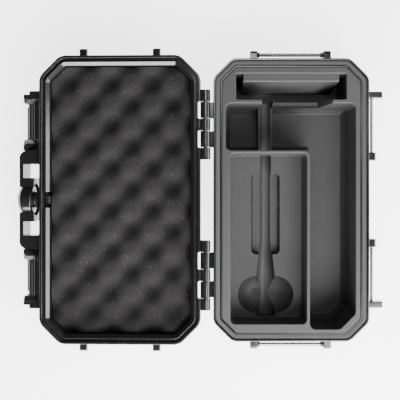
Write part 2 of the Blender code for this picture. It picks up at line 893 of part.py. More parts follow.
def bumper_openings():
    """The openings through the bumper. They leave the valve's seat and the shroud round its knob."""
    outer = lid_half_x + bumper_out - bumper_wall
    shroud_start = rail_x + shroud_gap
    low, high = rim_z - mm, rim_z + bumper_top + mm
    seat, far = valve_seat_half_y, bumper_opening
    shroud = knob_radius + relief_gap + shroud_wall
    openings = [box("seat_opening", (rail_x, -seat, low), (shroud_start, seat, high), gloss_black)]
    for side in sides.values():
        for near, far_x in ((seat - touch_gap, shroud_start), (shroud, outer)):
            near_y, far_y = sorted((side * near, side * far))
            corners = (lid_half_x, near_y, low), (far_x, far_y, high)
            openings.append(box("bumper_opening", *corners, gloss_black))
    return openings


def add_latch_ears(shell, side):
    inner = latch_centre_y - latch_width / 2.0
    outer = latch_centre_y + latch_width / 2.0
    root = lid_half_x - mm
    tip = lid_half_x + ear_out
    profile = lug_profile(root, tip, latch_z + ear_raise, ear_height, ear_rounding)
    for near, far in ((inner - inner_ear_width, inner), (outer, outer + outer_ear_width)):
        low, high = sorted((side * near, side * far))
        join(shell, prism_y("latch_ear", profile, low, high, gloss_black))
    guard = outer + outer_ear_width
    low, high = sorted((side * (guard - mm), side * (guard + guard_width)))
    guard_profile = lug_profile(root, lid_half_x + guard_out, latch_z, ear_height, ear_rounding)
    join(shell, prism_y("latch_guard", guard_profile, low, high, gloss_black))
    ends = sorted((side * (inner - inner_ear_width - mm), side * (guard + guard_width + mm)))
    bore = rod(
        "latch_bore",
        (latch_x, ends[0], latch_z),
        (latch_x, ends[1], latch_z),
        latch_pin_radius + bore_gap,
        steel,
    )
    cut(shell, bore)


def add_lid_lugs(shell, side):
    root = side * (lid_half_y - lid_band_slope)
    tip = side * (lid_half_y + lid_lug_out)
    middle = rim_z + lid_band_height / 2.0
    for x in (-lid_lug_x, lid_lug_x):
        join(shell, strap_lug("lid_lug", x, strap_lug_width, root, tip, middle, lid_band_height - mm))


def knuckle_relief(span):
    """A notch through the lid's edge, for a base knuckle to turn in."""
    low = (-lid_half_x - mm, span[0] - knuckle_gap, rim_z - skirt_drop - mm)
    over = rim_z + lid_band_height + lid_band_slope
    high = (-lid_half_x + knuckle_notch, span[1] + knuckle_gap, over + mm)
    return box("knuckle_relief", low, high, gloss_black)


def valve_cutters():
    """The pocket in the inner wall for the nut, and the hole through the front wall."""
    floor_x = lid_half_x - valve_pocket_in
    pocket = box(
        "valve_pocket",
        (lid_half_x - lid_inner_inset - lid_roof, -valve_pocket_half_y, rim_z - skirt_drop - mm),
        (floor_x, valve_pocket_half_y, valve_z + valve_pocket_half_y),
        gloss_black,
    )
    hole = rod(
        "valve_hole",
        (floor_x - cutter_reach, 0.0, valve_z),
        (rail_x + cutter_reach, 0.0, valve_z),
        valve_thread_radius + bore_gap,
        gloss_black,
    )
    window = rod(
        "knob_window",
        (rail_x, 0.0, valve_z),
        (lid_half_x + bumper_out + 2.0 * bumper_wall, 0.0, valve_z),
        knob_radius + relief_gap,
        gloss_black,
        steps=32,
    )
    return pocket, hole, window


def make_foam():
    inset = lid_inner_inset + foam_gap
    low = rim_z + foam_below_rim
    high = rim_z + lid_height - lid_roof - touch_gap
    pad = loft("foam_pad", [lid_ring(inset, low), lid_ring(inset + foam_draft, high)], foam_charcoal)
    lay_open(pad)


# ================================================================ latches, modelled shut
def lever_profile():
    """The latch seen from its end about its pivot: barrel side, plate, hook and finger tip."""
    rod_x, rod_z = keeper_x - latch_x, keeper_z - latch_z
    outer = barrel_radius
    inner = outer - lever_thickness
    hook_top = rod_z - keeper_radius - hook_gap
    hook_low = hook_top - hook_thickness
    lip_near = rod_x - keeper_radius - hook_gap
    lip_far = lip_near - hook_lip
    return [
        (outer, 0.0),
        (inner, 0.0),
        (inner, hook_top),
        (lip_near, hook_top),
        (lip_near, hook_top + hook_rise),
        (lip_far, hook_top + hook_rise),
        (lip_far, hook_low),
        (inner, hook_low),
        (inner, -lever_length + finger_start),
        (inner + finger_flare, -lever_length - finger_drop),
        (outer + finger_flare, -lever_length - finger_drop),
        (outer, -lever_length + finger_height),
    ]


def make_latch(side_name, side):
    pivot = bpy.data.objects.new("latch_pivot_" + side_name, None)
    parts.objects.link(pivot)
    pivot.parent = lid_pivot
    pivot.location = Vector((latch_x, side * latch_centre_y, latch_z)) - hinge_axis
    pivot.rotation_euler = (0.0, -math.pi, 0.0)
    half = latch_width / 2.0 - touch_gap
    barrel = rod("latch_barrel", (0.0, -half, 0.0), (0.0, half, 0.0), barrel_radius, satin_black)
    lever = prism_y("latch_lever_" + side_name, lever_profile(), -half, half, satin_black)
    join(lever, barrel)
    reach = latch_width
    bore = latch_pin_radius + bore_gap
    cut(lever, rod("lever_bore", (0.0, -reach, 0.0), (0.0, reach, 0.0), bore, steel))
    lever.parent = pivot
    for step in lever.modifiers:
        step.object.parent = pivot


def make_latch_pin(side_name, side):
    inner = latch_centre_y - latch_width / 2.0 - inner_ear_width + touch_gap
    outer = latch_centre_y + latch_width / 2.0 + outer_ear_width + guard_width - touch_gap
    low, high = sorted((side * inner, side * outer))
    ends = (latch_x, low, latch_z), (latch_x, high, latch_z)
    lay_open(rod("latch_pin_" + side_name, *ends, latch_pin_radius, steel, steps=14))


# ================================================================ purge valve, modelled shut
def turned(name, stations, material, steps=round_steps):
    """A solid turned about the valve's axis, through (x, radius) stations."""
    rows = []
    for x, radius in stations:
        angles = [2.0 * math.pi * step / steps for step in range(steps)]
        rows.append([Vector((x, radius * math.cos(a), valve_z + radius * math.sin(a))) for a in angles])
    return loft(name, rows, material)


def ring_about_valve(name, start_x, end_x, radius, material, steps=round_steps):
    """A washer or nut on the valve's thread."""
    solid = turned(name, [(start_x, radius), (end_x, radius)], material, steps)
    room = valve_thread_radius + bore_gap
    cut(solid, turned("thread_room", [(start_x - mm, room), (end_x + mm, room)], material))
    return solid


def make_valve():
    pocket_floor = lid_half_x - valve_pocket_in
    nut_end = pocket_floor - touch_gap
    nut_start = nut_end - valve_nut_thickness
    seal_start = rail_x + touch_gap
    seal_end = seal_start + valve_seal_thickness
    flange_start = seal_end + touch_gap
    flange_end = flange_start + valve_flange_thickness
    knob_start = flange_end + touch_gap
    knob_end = lid_half_x + knob_front
    spindle_end = knob_start + valve_spindle_length
    body_stations = [
        (nut_start - mm, valve_thread_radius),
        (flange_start, valve_thread_radius),
        (flange_start, valve_flange_radius),
        (flange_end, valve_flange_radius),
        (flange_end, valve_spindle_radius),
        (spindle_end, valve_spindle_radius),
    ]
    body = turned("valve_body", body_stations, satin_black)
    seal_radius = valve_flange_radius - mm
    seal = ring_about_valve("valve_seal", seal_start, seal_end, seal_radius, seal_grey)
    nut = ring_about_valve("valve_nut", nut_start, nut_end, valve_nut_radius, satin_black, steps=6)
    knob_stations = [
        (knob_start, knob_radius - knob_foot),
        (knob_start + knob_foot, knob_radius),
        (knob_end - knob_crown, knob_radius),
        (knob_end - 0.4 * knob_crown, 0.84 * knob_radius),
        (knob_end, 0.5 * knob_radius),
    ]
    knob = turned("purge_knob", knob_stations, satin_black, steps=28)
    room = valve_spindle_radius + bore_gap
    cut(knob, turned("knob_bore", [(knob_start - mm, room), (spindle_end + touch_gap, room)], steel))
    lay_open(body, seal, nut, knob)


def main():
    make_base_shell()
    make_gasket()
    make_insert_tray()
    make_lid_shell()
    make_foam()
    for side_name, side in sides.items():
        make_bar_collars(side_name, side)
        make_hinge_pin(side_name, side)
        make_keeper_rod(side_name, side)
        make_strap_bar(side_name, side)
        make_latch(side_name, side)
        make_latch_pin(side_name, side)
    make_valve()


main()
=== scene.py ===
"""A small hard carry case, laid open on a pale table: black moulded shells, grey seal, dark tray, foam."""

import json
import math

import bmesh
import bpy
from mathutils import Matrix, Vector


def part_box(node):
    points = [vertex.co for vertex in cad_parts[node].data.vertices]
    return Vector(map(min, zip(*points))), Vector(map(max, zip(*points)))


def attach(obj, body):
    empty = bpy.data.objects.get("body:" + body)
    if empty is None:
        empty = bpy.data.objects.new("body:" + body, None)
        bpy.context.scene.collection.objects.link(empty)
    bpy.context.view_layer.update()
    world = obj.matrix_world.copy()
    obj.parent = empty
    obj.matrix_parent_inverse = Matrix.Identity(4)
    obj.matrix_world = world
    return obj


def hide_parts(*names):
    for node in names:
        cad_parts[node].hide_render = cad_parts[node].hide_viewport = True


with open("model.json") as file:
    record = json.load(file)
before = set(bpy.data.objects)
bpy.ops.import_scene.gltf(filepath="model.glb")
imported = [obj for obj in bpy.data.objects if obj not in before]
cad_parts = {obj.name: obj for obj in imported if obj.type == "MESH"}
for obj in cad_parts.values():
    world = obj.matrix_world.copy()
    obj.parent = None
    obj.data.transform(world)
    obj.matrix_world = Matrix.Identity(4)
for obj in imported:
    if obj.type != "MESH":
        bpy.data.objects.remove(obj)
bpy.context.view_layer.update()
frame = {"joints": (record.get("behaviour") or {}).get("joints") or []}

# ---------------------------------------------------------------------------------------------
# The table and the light. The case stands on a back-lit white sheet. Soft panels hang over its near
# end, weakly over its far end, and low beyond its latch side and near end. The room is dim elsewhere.
mm = 0.001
joints = {joint["name"]: joint for joint in frame["joints"]}
hinge_axis = Vector(joints["lid_hinge"]["pos_m"])
rim_z = hinge_axis.z
camera_height = 680 * mm  # above the rim
panel_aim = Vector((-70 * mm, 0.0, 30 * mm))
bright_side = (0.62, -0.78, 0.0)
table_side = 4.0
field_width = 320 * mm  # what the frame takes in at the rim's height
off_axis = (-13 / 400, -15 / 400)  # how far the middle of the frame lies from the lens axis
lens_over = Vector((-62.7 * mm, 11.9 * mm))


def make_camera():
    view = bpy.data.cameras.new("camera")
    view.lens = view.sensor_width * camera_height / field_width
    view.shift_x, view.shift_y = off_axis
    eye = bpy.data.objects.new("camera", view)
    eye.location = (lens_over.x, lens_over.y, rim_z + camera_height)
    bpy.context.scene.collection.objects.link(eye)
    bpy.context.scene.camera = eye


def make_panel(name, place, size, power, colour=(1.0, 1.0, 1.0)):
    light = bpy.data.lights.new(name, "AREA")
    light.shape = "RECTANGLE"
    light.size, light.size_y = size
    light.energy = power
    light.color = colour
    panel = bpy.data.objects.new(name, light)
    panel.location = place
    aim = panel_aim - panel.location
    panel.rotation_euler = aim.to_track_quat("-Z", "Y").to_euler()
    bpy.context.scene.collection.objects.link(panel)


def make_room():
    """A dim room that is bright and white beyond the latch side and the near end."""
    room = bpy.data.worlds.new("room")
    bpy.context.scene.world = room
    room.use_nodes = True
    nodes, links = room.node_tree.nodes, room.node_tree.links
    place = nodes.new("ShaderNodeTexCoord")
    toward = nodes.new("ShaderNodeVectorMath")
    toward.operation = "DOT_PRODUCT"
    toward.inputs[1].default_value = bright_side
    fade = nodes.new("ShaderNodeMapRange")
    fade.interpolation_type = "SMOOTHSTEP"
    for name, value in (("From Min", 0.2), ("From Max", 0.7), ("To Min", 0.06), ("To Max", 0.8)):
        fade.inputs[name].default_value = value
    links.new(place.outputs["Generated"], toward.inputs[0])
    links.new(toward.outputs["Value"], fade.inputs["Value"])
    links.new(fade.outputs["Result"], nodes["Background"].inputs["Strength"])
    nodes["Background"].inputs["Color"].default_value = (0.97, 0.98, 1.0, 1.0)


make_camera()
make_panel("key_panel", (0.10, -0.34, 0.53), (0.54, 0.30), 8)
make_panel("far_panel", (0.04, 0.17, 0.82), (0.30, 0.12), 1.6)
make_panel("side_panel", (1.05, -0.26, 0.40), (0.90, 0.40), 17, (0.94, 0.97, 1.0))
make_panel("near_panel", (0.0, -1.05, 0.42), (1.10, 0.40), 32)
make_room()


class Value:
    """A node's output that takes part in Python arithmetic: each operation adds its Math node."""

    def __init__(self, tree, socket):
        self.tree, self.socket = tree, socket

    def math(self, operation, *values):
        return self.tree.node("ShaderNodeMath", values, operation=operation)

    def __add__(self, other):
        return self.math("ADD", self, other)

    def __sub__(self, other):
        return self.math("SUBTRACT", self, other)

    def __rsub__(self, other):
        return self.math("SUBTRACT", other, self)

    def __mul__(self, other):
        return self.math("MULTIPLY", self, other)

    def __truediv__(self, other):
        return self.math("DIVIDE", self, other)

    def __neg__(self):
        return self * -1.0

    def __abs__(self):
        return self.math("ABSOLUTE", self)

    def sine(self):
        return self.math("SINE", self)

    def over(self, edge, width):
        """0 below the edge, 1 above it, with a soft step of the given width."""
        low, high = edge - width / 2.0, edge + width / 2.0
        values = {"Value": self, "From Min": low, "From Max": high}
        return self.tree.node("ShaderNodeMapRange", values, interpolation_type="SMOOTHSTEP")

    __radd__ = __add__
    __rmul__ = __mul__


class Tree:
    """A node tree, with one call that adds any node, sets it up and feeds its sockets."""

    def __init__(self, tree):
        self.tree = tree

    def node(self, kind, values=(), out=0, **settings):
        made = self.tree.nodes.new(kind)
        stops = settings.pop("stops", None)
        for name, value in settings.items():
            setattr(made, name, value)
        if stops:
            ramp = made.color_ramp.elements
            while len(ramp) < len(stops):
                ramp.new(0.5)
            for stop, (position, grey) in zip(ramp, stops):
                stop.position = position
                stop.color = (grey, grey, grey, 1.0)
        pairs = values.items() if isinstance(values, dict) else enumerate(values)
        for key, value in pairs:
            if isinstance(value, Value):
                self.tree.links.new(value.socket, made.inputs[key])
            else:
                made.inputs[key].default_value = value
        return Value(self, made.outputs[out])


class Finish(Tree):
    """A material on a Principled surface. Its patterns lie in the object's own coordinates."""

    def __init__(self, name, **surface):
        self.material = bpy.data.materials.new(name)
        self.material.use_nodes = True
        super().__init__(self.material.node_tree)
        self.surface = self.tree.nodes["Principled BSDF"]
        for name, value in surface.items():
            self.socket(name).default_value = value
        self.place = self.node("ShaderNodeTexCoord", out="Object")

    def socket(self, name):
        return self.surface.inputs[name.replace("_", " ").title().replace("Ior", "IOR")]

    def noise(self, size, detail=2.0, roughness=0.5, place=None):
        """Smooth noise whose blotches are about the given size in metres."""
        values = {"Vector": place or self.place, "Scale": 1.0 / size, "Detail": detail}
        values["Roughness"] = roughness
        return self.node("ShaderNodeTexNoise", values, out="Fac")

    def mix(self, share, low, high):
        """A colour between two colours."""
        values = {0: share, 6: low, 7: high}
        return self.node("ShaderNodeMix", values, out=2, data_type="RGBA")

    def axis(self, name, of=None):
        return self.node("ShaderNodeSeparateXYZ", [of or self.place], out=name)

    def facing(self, name):
        """The surface's normal along one axis."""
        return self.axis(name, self.node("ShaderNodeNewGeometry", out="Normal"))

    def feed(self, height=None, relief=0.0, **sockets):
        """Links values to the surface, and a height in metres through one Bump node."""
        for name, value in sockets.items():
            self.tree.links.new(value.socket, self.socket(name))
        if height is not None:
            values = {"Strength": 1.0, "Distance": relief, "Height": height}
            self.feed(normal=self.node("ShaderNodeBump", values))
        return self.material


def grey(level, blue=1.0):
    return (level, level, level * blue, 1.0)


def table_finish():
    finish = Finish("table_sheet", roughness=0.6, emission_color=(1.0, 1.0, 1.0, 1.0), emission_strength=3.2)
    grain = finish.noise(40 * mm)
    return finish.feed(base_color=finish.mix(grain, grey(0.86), grey(0.89)))


def make_table():
    bm = bmesh.new()
    bmesh.ops.create_grid(bm, x_segments=8, y_segments=8, size=table_side / 2.0)
    mesh = bpy.data.meshes.new("table")
    bm.to_mesh(mesh)
    bm.free()
    mesh.materials.append(table_finish())
    table = bpy.data.objects.new("table", mesh)
    bpy.context.scene.collection.objects.link(table)


make_table()

# ---------------------------------------------------------------------------------------------
# The base shell. A deep tub moulded in glossy black plastic: a drafted wall under a flange, whose
# top carries the channel of the seal. Hinge knuckles, keeper lugs and strap lugs are moulded on.
rim_wall = 1.6 * mm
seal_gap = 0.3 * mm
channel_width = 4.3 * mm
channel_depth = 3.6 * mm
inner_lip = 0.9 * mm
lip_drop = 0.6 * mm
corner_cut = 15.5 * mm
corner_radius = 9.0 * mm
corner_steps = 8
flange_overhang = 4.0 * mm
flange_height = 7.5 * mm
base_draft = 1.8 * mm
base_floor = 3.0 * mm
foot_chamfer = 2.6 * mm
foot_inner = 21.0 * mm
foot_recess = 0.6 * mm
seal_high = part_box("rim_gasket")[1]
rim_x = seal_high.x + rim_wall + seal_gap
rim_y = seal_high.y + rim_wall + seal_gap
lip_inset = rim_wall + channel_width + inner_lip


def arc(before, corner, after, radius, steps):
    """The points of a corner, rounded as far as its two sides allow."""
    back, ahead = before - corner, after - corner
    half = back.angle(ahead) / 2.0
    reach = min(radius / math.tan(half), 0.48 * back.length, 0.48 * ahead.length)
    radius = reach * math.tan(half)
    if radius < 0.01 * mm:
        return [corner]
    back.normalize()
    ahead.normalize()
    centre = corner + (back + ahead).normalized() * (radius / math.sin(half))
    start = corner + back * reach - centre
    end = corner + ahead * reach - centre
    first = math.atan2(start.y, start.x)
    sweep = (math.atan2(end.y, end.x) - first + math.pi) % (2.0 * math.pi) - math.pi
    turns = [first + sweep * step / steps for step in range(steps + 1)]
    return [centre + Vector((math.cos(turn), math.sin(turn))) * radius for turn in turns]


def rounded(corners, radius, steps=corner_steps):
    """A closed outline with its corners rounded, by one radius or one for each corner."""
    radii = radius if isinstance(radius, (list, tuple)) else [radius] * len(corners)
    corners = [Vector(corner) for corner in corners]
    points = []
    for index, corner in enumerate(corners):
        after = corners[(index + 1) % len(corners)]
        points += arc(corners[index - 1], corner, after, radii[index], steps)
    return points


def eased(profile, steps=4):
    """An open profile of (inset, z, rounding) as (inset, z) points, its ends left alone."""
    line = [Vector(point[:2]) for point in profile]
    points = [line[0]]
    for index in range(1, len(line) - 1):
        points += arc(line[index - 1], line[index], line[index + 1], profile[index][2], steps)
    return points + [line[-1]]


def inset_corners(corners, distance):
    """Moves every side of a counter-clockwise outline inwards."""
    moved = []
    for index, corner in enumerate(corners):
        into = (corner - corners[index - 1]).normalized()
        out = (corners[(index + 1) % len(corners)] - corner).normalized()
        normals = Vector((-into.y - out.y, into.x + out.x))
        cosine = into.dot(out)
        moved.append(corner + normals * (distance / (1.0 + cosine)))
    return moved


def case_corners(half_x, half_y, cut):
    quarter = [(half_x, half_y - cut), (half_x - cut, half_y)]
    turned = [(-x, y) for x, y in reversed(quarter)] + [(-x, -y) for x, y in quarter]
    turned += [(x, -y) for x, y in reversed(quarter)]
    return [Vector(point) for point in quarter + turned]


def at_height(points, z):
    return [Vector((point.x, point.y, z)) for point in points]


def rim_ring(inset, z, least_radius=2.0 * mm):
    corners = inset_corners(case_corners(rim_x, rim_y, corner_cut), inset)
    return at_height(rounded(corners, max(corner_radius - inset, least_radius)), z)


def to_mesh(bm, name="shape"):
    mesh = bpy.data.meshes.new(name)
    bm.to_mesh(mesh)
    bm.free()
    return mesh


def loft(rings, looped=False):
    """A closed solid through rings of equal count, capped at its ends or closed on itself."""
    bm = bmesh.new()
    rows = [[bm.verts.new(point) for point in points] for points in rings]
    pairs = list(zip(rows, rows[1:]))
    if looped:
        pairs.append((rows[-1], rows[0]))
    for low, high in pairs:
        for index in range(len(low)):
            after = (index + 1) % len(low)
            bm.faces.new((low[index], low[after], high[after], high[index]))
    if not looped:
        bm.faces.new(list(reversed(rows[0])))
        bm.faces.new(rows[-1])
    bmesh.ops.recalc_face_normals(bm, faces=bm.faces)
    return to_mesh(bm)


along_x = Matrix(((0, 0, 1, 0), (1, 0, 0, 0), (0, 1, 0, 0), (0, 0, 0, 1)))  # outline lies in Y, Z
along_y = Matrix(((1, 0, 0, 0), (0, 0, 1, 0), (0, 1, 0, 0), (0, 0, 0, 1)))  # outline lies in X, Z
along_z = Matrix.Identity(4)


def prism(outline, low, high, way=along_z, edge=0.4 * mm, steps=3):
    """An outline carried from low to high, with the rims of its two end faces rounded."""
    bm = bmesh.new()
    rows = [[bm.verts.new((point[0], point[1], z)) for point in outline] for z in (low, high)]
    for index in range(len(outline)):
        after = (index + 1) % len(outline)
        bm.faces.new((rows[0][index], rows[0][after], rows[1][after], rows[1][index]))
    bm.faces.new(list(reversed(rows[0])))
    bm.faces.new(rows[1])
    rims = [one for one in bm.edges if abs(one.verts[0].co.z - one.verts[1].co.z) < 0.001 * mm]
    if edge:
        bmesh.ops.bevel(
            bm, geom=rims, offset=edge, segments=steps, profile=0.5, affect="EDGES", clamp_overlap=True
        )
    bm.transform(way)
    bmesh.ops.recalc_face_normals(bm, faces=bm.faces)
    return to_mesh(bm)


def turned(profile, steps=48, bore=0.0, way=along_z):
    """A solid of (distance, radius) points turned about an axis, with a bore if one is given."""
    rings = []
    turns = [2.0 * math.pi * step / steps for step in range(steps)]
    stations = list(profile)
    if bore:
        stations = [(profile[0][0], bore), *profile, (profile[-1][0], bore)]
    for height, radius in stations:
        rings.append([Vector((radius * math.cos(a), radius * math.sin(a), height)) for a in turns])
    mesh = loft(rings, looped=bool(bore))
    return placed(mesh, way)


def rod(low, high, radius, edge=0.25 * mm, bore=0.0, way=along_z, steps=32):
    """A round bar or tube with its ends broken."""
    profile = [(low, radius - edge), (low + edge, radius), (high - edge, radius), (high, radius - edge)]
    if edge == 0.0:
        profile = [(low, radius), (high, radius)]
    return turned(profile, steps, bore, way)


def placed(mesh, matrix):
    mesh.transform(matrix)
    if matrix.to_3x3().determinant() < 0.0:
        mesh.flip_normals()
    return mesh


def moved(mesh, x=0.0, y=0.0, z=0.0):
    return placed(mesh, Matrix.Translation((x, y, z)))


def mirrored(mesh, side):
    """The mesh as it is for the upper side, or mirrored across the middle for the lower one."""
    return placed(mesh, Matrix.Scale(side, 4, (0, 1, 0)))


def joined(*meshes):
    bm = bmesh.new()
    for mesh in meshes:
        bm.from_mesh(mesh)
    return to_mesh(bm)


def carved(mesh, *tools, operation="DIFFERENCE"):
    """The mesh with each tool cut out of it, or joined on."""
    made = []
    for source in (mesh, *tools):
        made.append(bpy.data.objects.new("carving", source))
        bpy.context.scene.collection.objects.link(made[-1])
    for tool in made[1:]:
        step = made[0].modifiers.new("step", "BOOLEAN")
        step.operation, step.object = operation, tool
    seen = made[0].evaluated_get(bpy.context.evaluated_depsgraph_get())
    result = bpy.data.meshes.new_from_object(seen)
    for obj in made:
        bpy.data.objects.remove(obj)
    return result


def piece(name, mesh, finish, body, slot, *nodes, smooth=32.0):
    """A finished piece of the case, in place, that rides on its body and stands for its nodes."""
    mesh.name = name
    mesh.materials.clear()
    mesh.materials.append(finish)
    mesh.polygons.foreach_set("material_index", [0] * len(mesh.polygons))
    mesh.shade_smooth()
    mesh.set_sharp_from_angle(angle=math.radians(smooth))
    made = bpy.data.objects.new(name, mesh)
    bpy.context.scene.collection.objects.link(made)
    weigh = made.modifiers.new("even_shading", "WEIGHTED_NORMAL")
    weigh.keep_sharp = True
    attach(made, body)
    if nodes:
        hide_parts(*nodes)
    return made


def gloss_finish(name, level=0.010, roughness=0.16):
    """Glossy moulded plastic: nearly black, with faint flow marks, handling smears and a fine grain."""
    finish = Finish(name, specular_ior_level=0.55)
    smear = finish.noise(38 * mm, detail=4.0)
    grain = finish.noise(1.1 * mm, detail=1.0)
    rub = finish.noise(9 * mm, detail=5.0, roughness=0.7).over(0.62, 0.16)
    colour = finish.mix(rub * 0.35, grey(level), grey(level * 2.2))
    rough = smear * 0.10 + rub * 0.10 + (roughness - 0.05)
    height = grain * 0.5 + smear * 6.0
    return finish.feed(height, 0.012 * mm, base_color=colour, roughness=rough)


black_gloss = gloss_finish("black_gloss")

hinge_pin_radius = 1.5 * mm
bore_gap = 0.3 * mm
knuckle_radius = 4.0 * mm
lid_knuckle = 9.4 * mm
base_knuckle = 13.0 * mm
knuckle_gap = 0.4 * mm
skirt_drop = 1.8 * mm
sides = {"upper": 1, "lower": -1}


def knuckle_spans(name):
    """The Y spans of one hinge's knuckles, the first and last on the lid."""
    low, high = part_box("hinge_pin_" + name)
    start = low.y - seal_gap
    spans = []
    for width in (lid_knuckle, base_knuckle, lid_knuckle, base_knuckle, lid_knuckle):
        spans.append((start, start + width))
        start += width + knuckle_gap
    return spans


def knuckle(span, arm):
    """A hinge knuckle with its bore, and the arm that carries it."""
    barrel = rod(span[0], span[1], knuckle_radius, 0.35 * mm, hinge_pin_radius + bore_gap, along_y, 40)
    outline = rounded(arm, 0.5 * mm, 3)
    return [moved(barrel, hinge_axis.x, 0.0, rim_z), prism(outline, *span, along_y)]


def base_arm():
    x = hinge_axis.x
    return [
        (x - 0.4 * knuckle_radius, rim_z - 0.62 * knuckle_radius),
        (x + 0.2 * knuckle_radius, rim_z - 0.9 * knuckle_radius),
        (-rim_x + flange_overhang + mm, rim_z - flange_height - knuckle_radius),
        (-rim_x + flange_overhang + mm, rim_z - channel_depth - mm),
        (-rim_x + 0.5 * rim_wall, rim_z - channel_depth - mm),
        (-rim_x + 0.5 * rim_wall, rim_z - skirt_drop - 0.6 * mm),
        (x + 0.3 * knuckle_radius, rim_z - skirt_drop - 0.6 * mm),
    ]


def lug(low, high, root, tip, middle_z, height, way, bore_at, bore, rounding=2.2 * mm):
    """A flat lug with a rounded tip and a cross bore, carried along its own width."""
    bottom, top = middle_z - height / 2.0, middle_z + height / 2.0
    corners = [(root, bottom), (tip, bottom), (tip, top), (root, top)]
    outline = rounded(corners, [0.0, rounding, rounding, 0.0], 5)
    solid = prism(outline, low, high, way, 0.5 * mm)
    drill = rod(low - mm, high + mm, bore, 0.0, 0.0, way, 24)
    first, second = (0.0, bore_at, middle_z), (bore_at, 0.0, middle_z)
    return carved(solid, moved(drill, *(first if way == along_x else second)))


keeper_low, keeper_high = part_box("keeper_rod_upper")
keeper_x = (keeper_low.x + keeper_high.x) / 2.0
keeper_z = (keeper_low.z + keeper_high.z) / 2.0
keeper_radius = (keeper_high.x - keeper_low.x) / 2.0
short_lug_width = 6.5 * mm
long_lug_width = 5.1 * mm
long_lug_out = 12.3 * mm
lug_height = 12.0 * mm
strap_lug_x = 29.7 * mm
strap_lug_width = 6.0 * mm
strap_lug_out = 7.2 * mm
strap_low, strap_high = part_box("strap_bar_upper")
strap_y = (strap_low.y + strap_high.y) / 2.0
strap_radius = (strap_high.y - strap_low.y) / 2.0
wall_x = rim_x - flange_overhang - mm
wall_y = rim_y - flange_overhang - mm


def keeper_lugs(side):
    """The short and the long lug that hold one keeper rod."""
    near, far = keeper_low.y - seal_gap, keeper_high.y + seal_gap
    short_tip = keeper_x + keeper_radius + rim_wall
    made = []
    for start, end, tip in (
        (near, near + short_lug_width, short_tip),
        (far - long_lug_width, far, rim_x + long_lug_out),
    ):
        low, high = sorted((side * start, side * end))
        bore = keeper_radius + bore_gap
        made.append(lug(low, high, wall_x, tip, keeper_z, lug_height, along_y, keeper_x, bore))
    return made


def strap_lugs(side):
    """The two lugs that hold the strap bar at one end of the case."""
    made = []
    for x in (-strap_lug_x, strap_lug_x):
        low, high = x - strap_lug_width / 2.0, x + strap_lug_width / 2.0
        bore = strap_radius + bore_gap
        solid = lug(low, high, wall_y, rim_y + strap_lug_out, keeper_z, lug_height, along_x, strap_y, bore)
        made.append(mirrored(solid, side))
    return made


def base_shell():
    inner = rim_wall + channel_width
    profile = [
        (foot_inner + 9.0 * mm, foot_recess, 0.0),
        (foot_inner + mm, foot_recess, 0.4 * mm),
        (foot_inner, 0.0, 0.4 * mm),
        (flange_overhang + base_draft + foot_chamfer, 0.0, 1.6 * mm),
        (flange_overhang + base_draft, foot_chamfer, 1.6 * mm),
        (flange_overhang, rim_z - flange_height, 0.8 * mm),
        (0.0, rim_z - flange_height + flange_overhang / 2.0, 0.8 * mm),
        (0.0, rim_z, 0.45 * mm),
        (rim_wall, rim_z, 0.35 * mm),
        (rim_wall, rim_z - channel_depth, 0.2 * mm),
        (inner, rim_z - channel_depth, 0.2 * mm),
        (inner, rim_z - lip_drop, 0.25 * mm),
        (lip_inset, rim_z - lip_drop, 0.25 * mm),
        (lip_inset + base_draft, base_floor, 1.5 * mm),
        (lip_inset + 4.0 * base_draft, base_floor, 0.0),
    ]
    solids = [loft([rim_ring(inset, z) for inset, z in eased(profile)])]
    for name, side in sides.items():
        for span in knuckle_spans(name)[1::2]:
            solids += knuckle(span, base_arm())
        solids += keeper_lugs(side) + strap_lugs(side)
    return joined(*solids)


piece("base_shell_moulding", base_shell(), black_gloss, "base", "gloss_black", "base_shell")

# ---------------------------------------------------------------------------------------------
# The rim gasket. A soft grey rubber ring pressed into the channel, matt, with a little dust on it.


def rubber_finish(name, level):
    finish = Finish(name, roughness=0.75, specular_ior_level=0.35)
    dust = finish.noise(2.2 * mm, detail=6.0, roughness=0.7)
    cloud = finish.noise(26 * mm)
    colour = finish.mix(dust * 0.5 + cloud * 0.4, grey(level * 0.85), grey(level * 1.2))
    return finish.feed(dust, 0.03 * mm, base_color=colour)


def gasket():
    low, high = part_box("rim_gasket")[0].z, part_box("rim_gasket")[1].z
    outer, inner = rim_wall + seal_gap, rim_wall + channel_width - seal_gap
    middle = (outer + inner) / 2.0
    profile = [
        (middle, low, 0.0),
        (outer, low, 0.2 * mm),
        (outer, high - 0.2 * mm, 0.7 * mm),
        (middle, high, 3.0 * mm),
        (inner, high - 0.2 * mm, 0.7 * mm),
        (inner, low, 0.2 * mm),
        (middle + 0.1 * mm, low, 0.0),
    ]
    return loft([rim_ring(inset, z) for inset, z in eased(profile)], looped=True)


seal_rubber = rubber_finish("seal_rubber", 0.062)
piece("rim_gasket_ring", gasket(), seal_rubber, "base", "seal_grey", "rim_gasket")

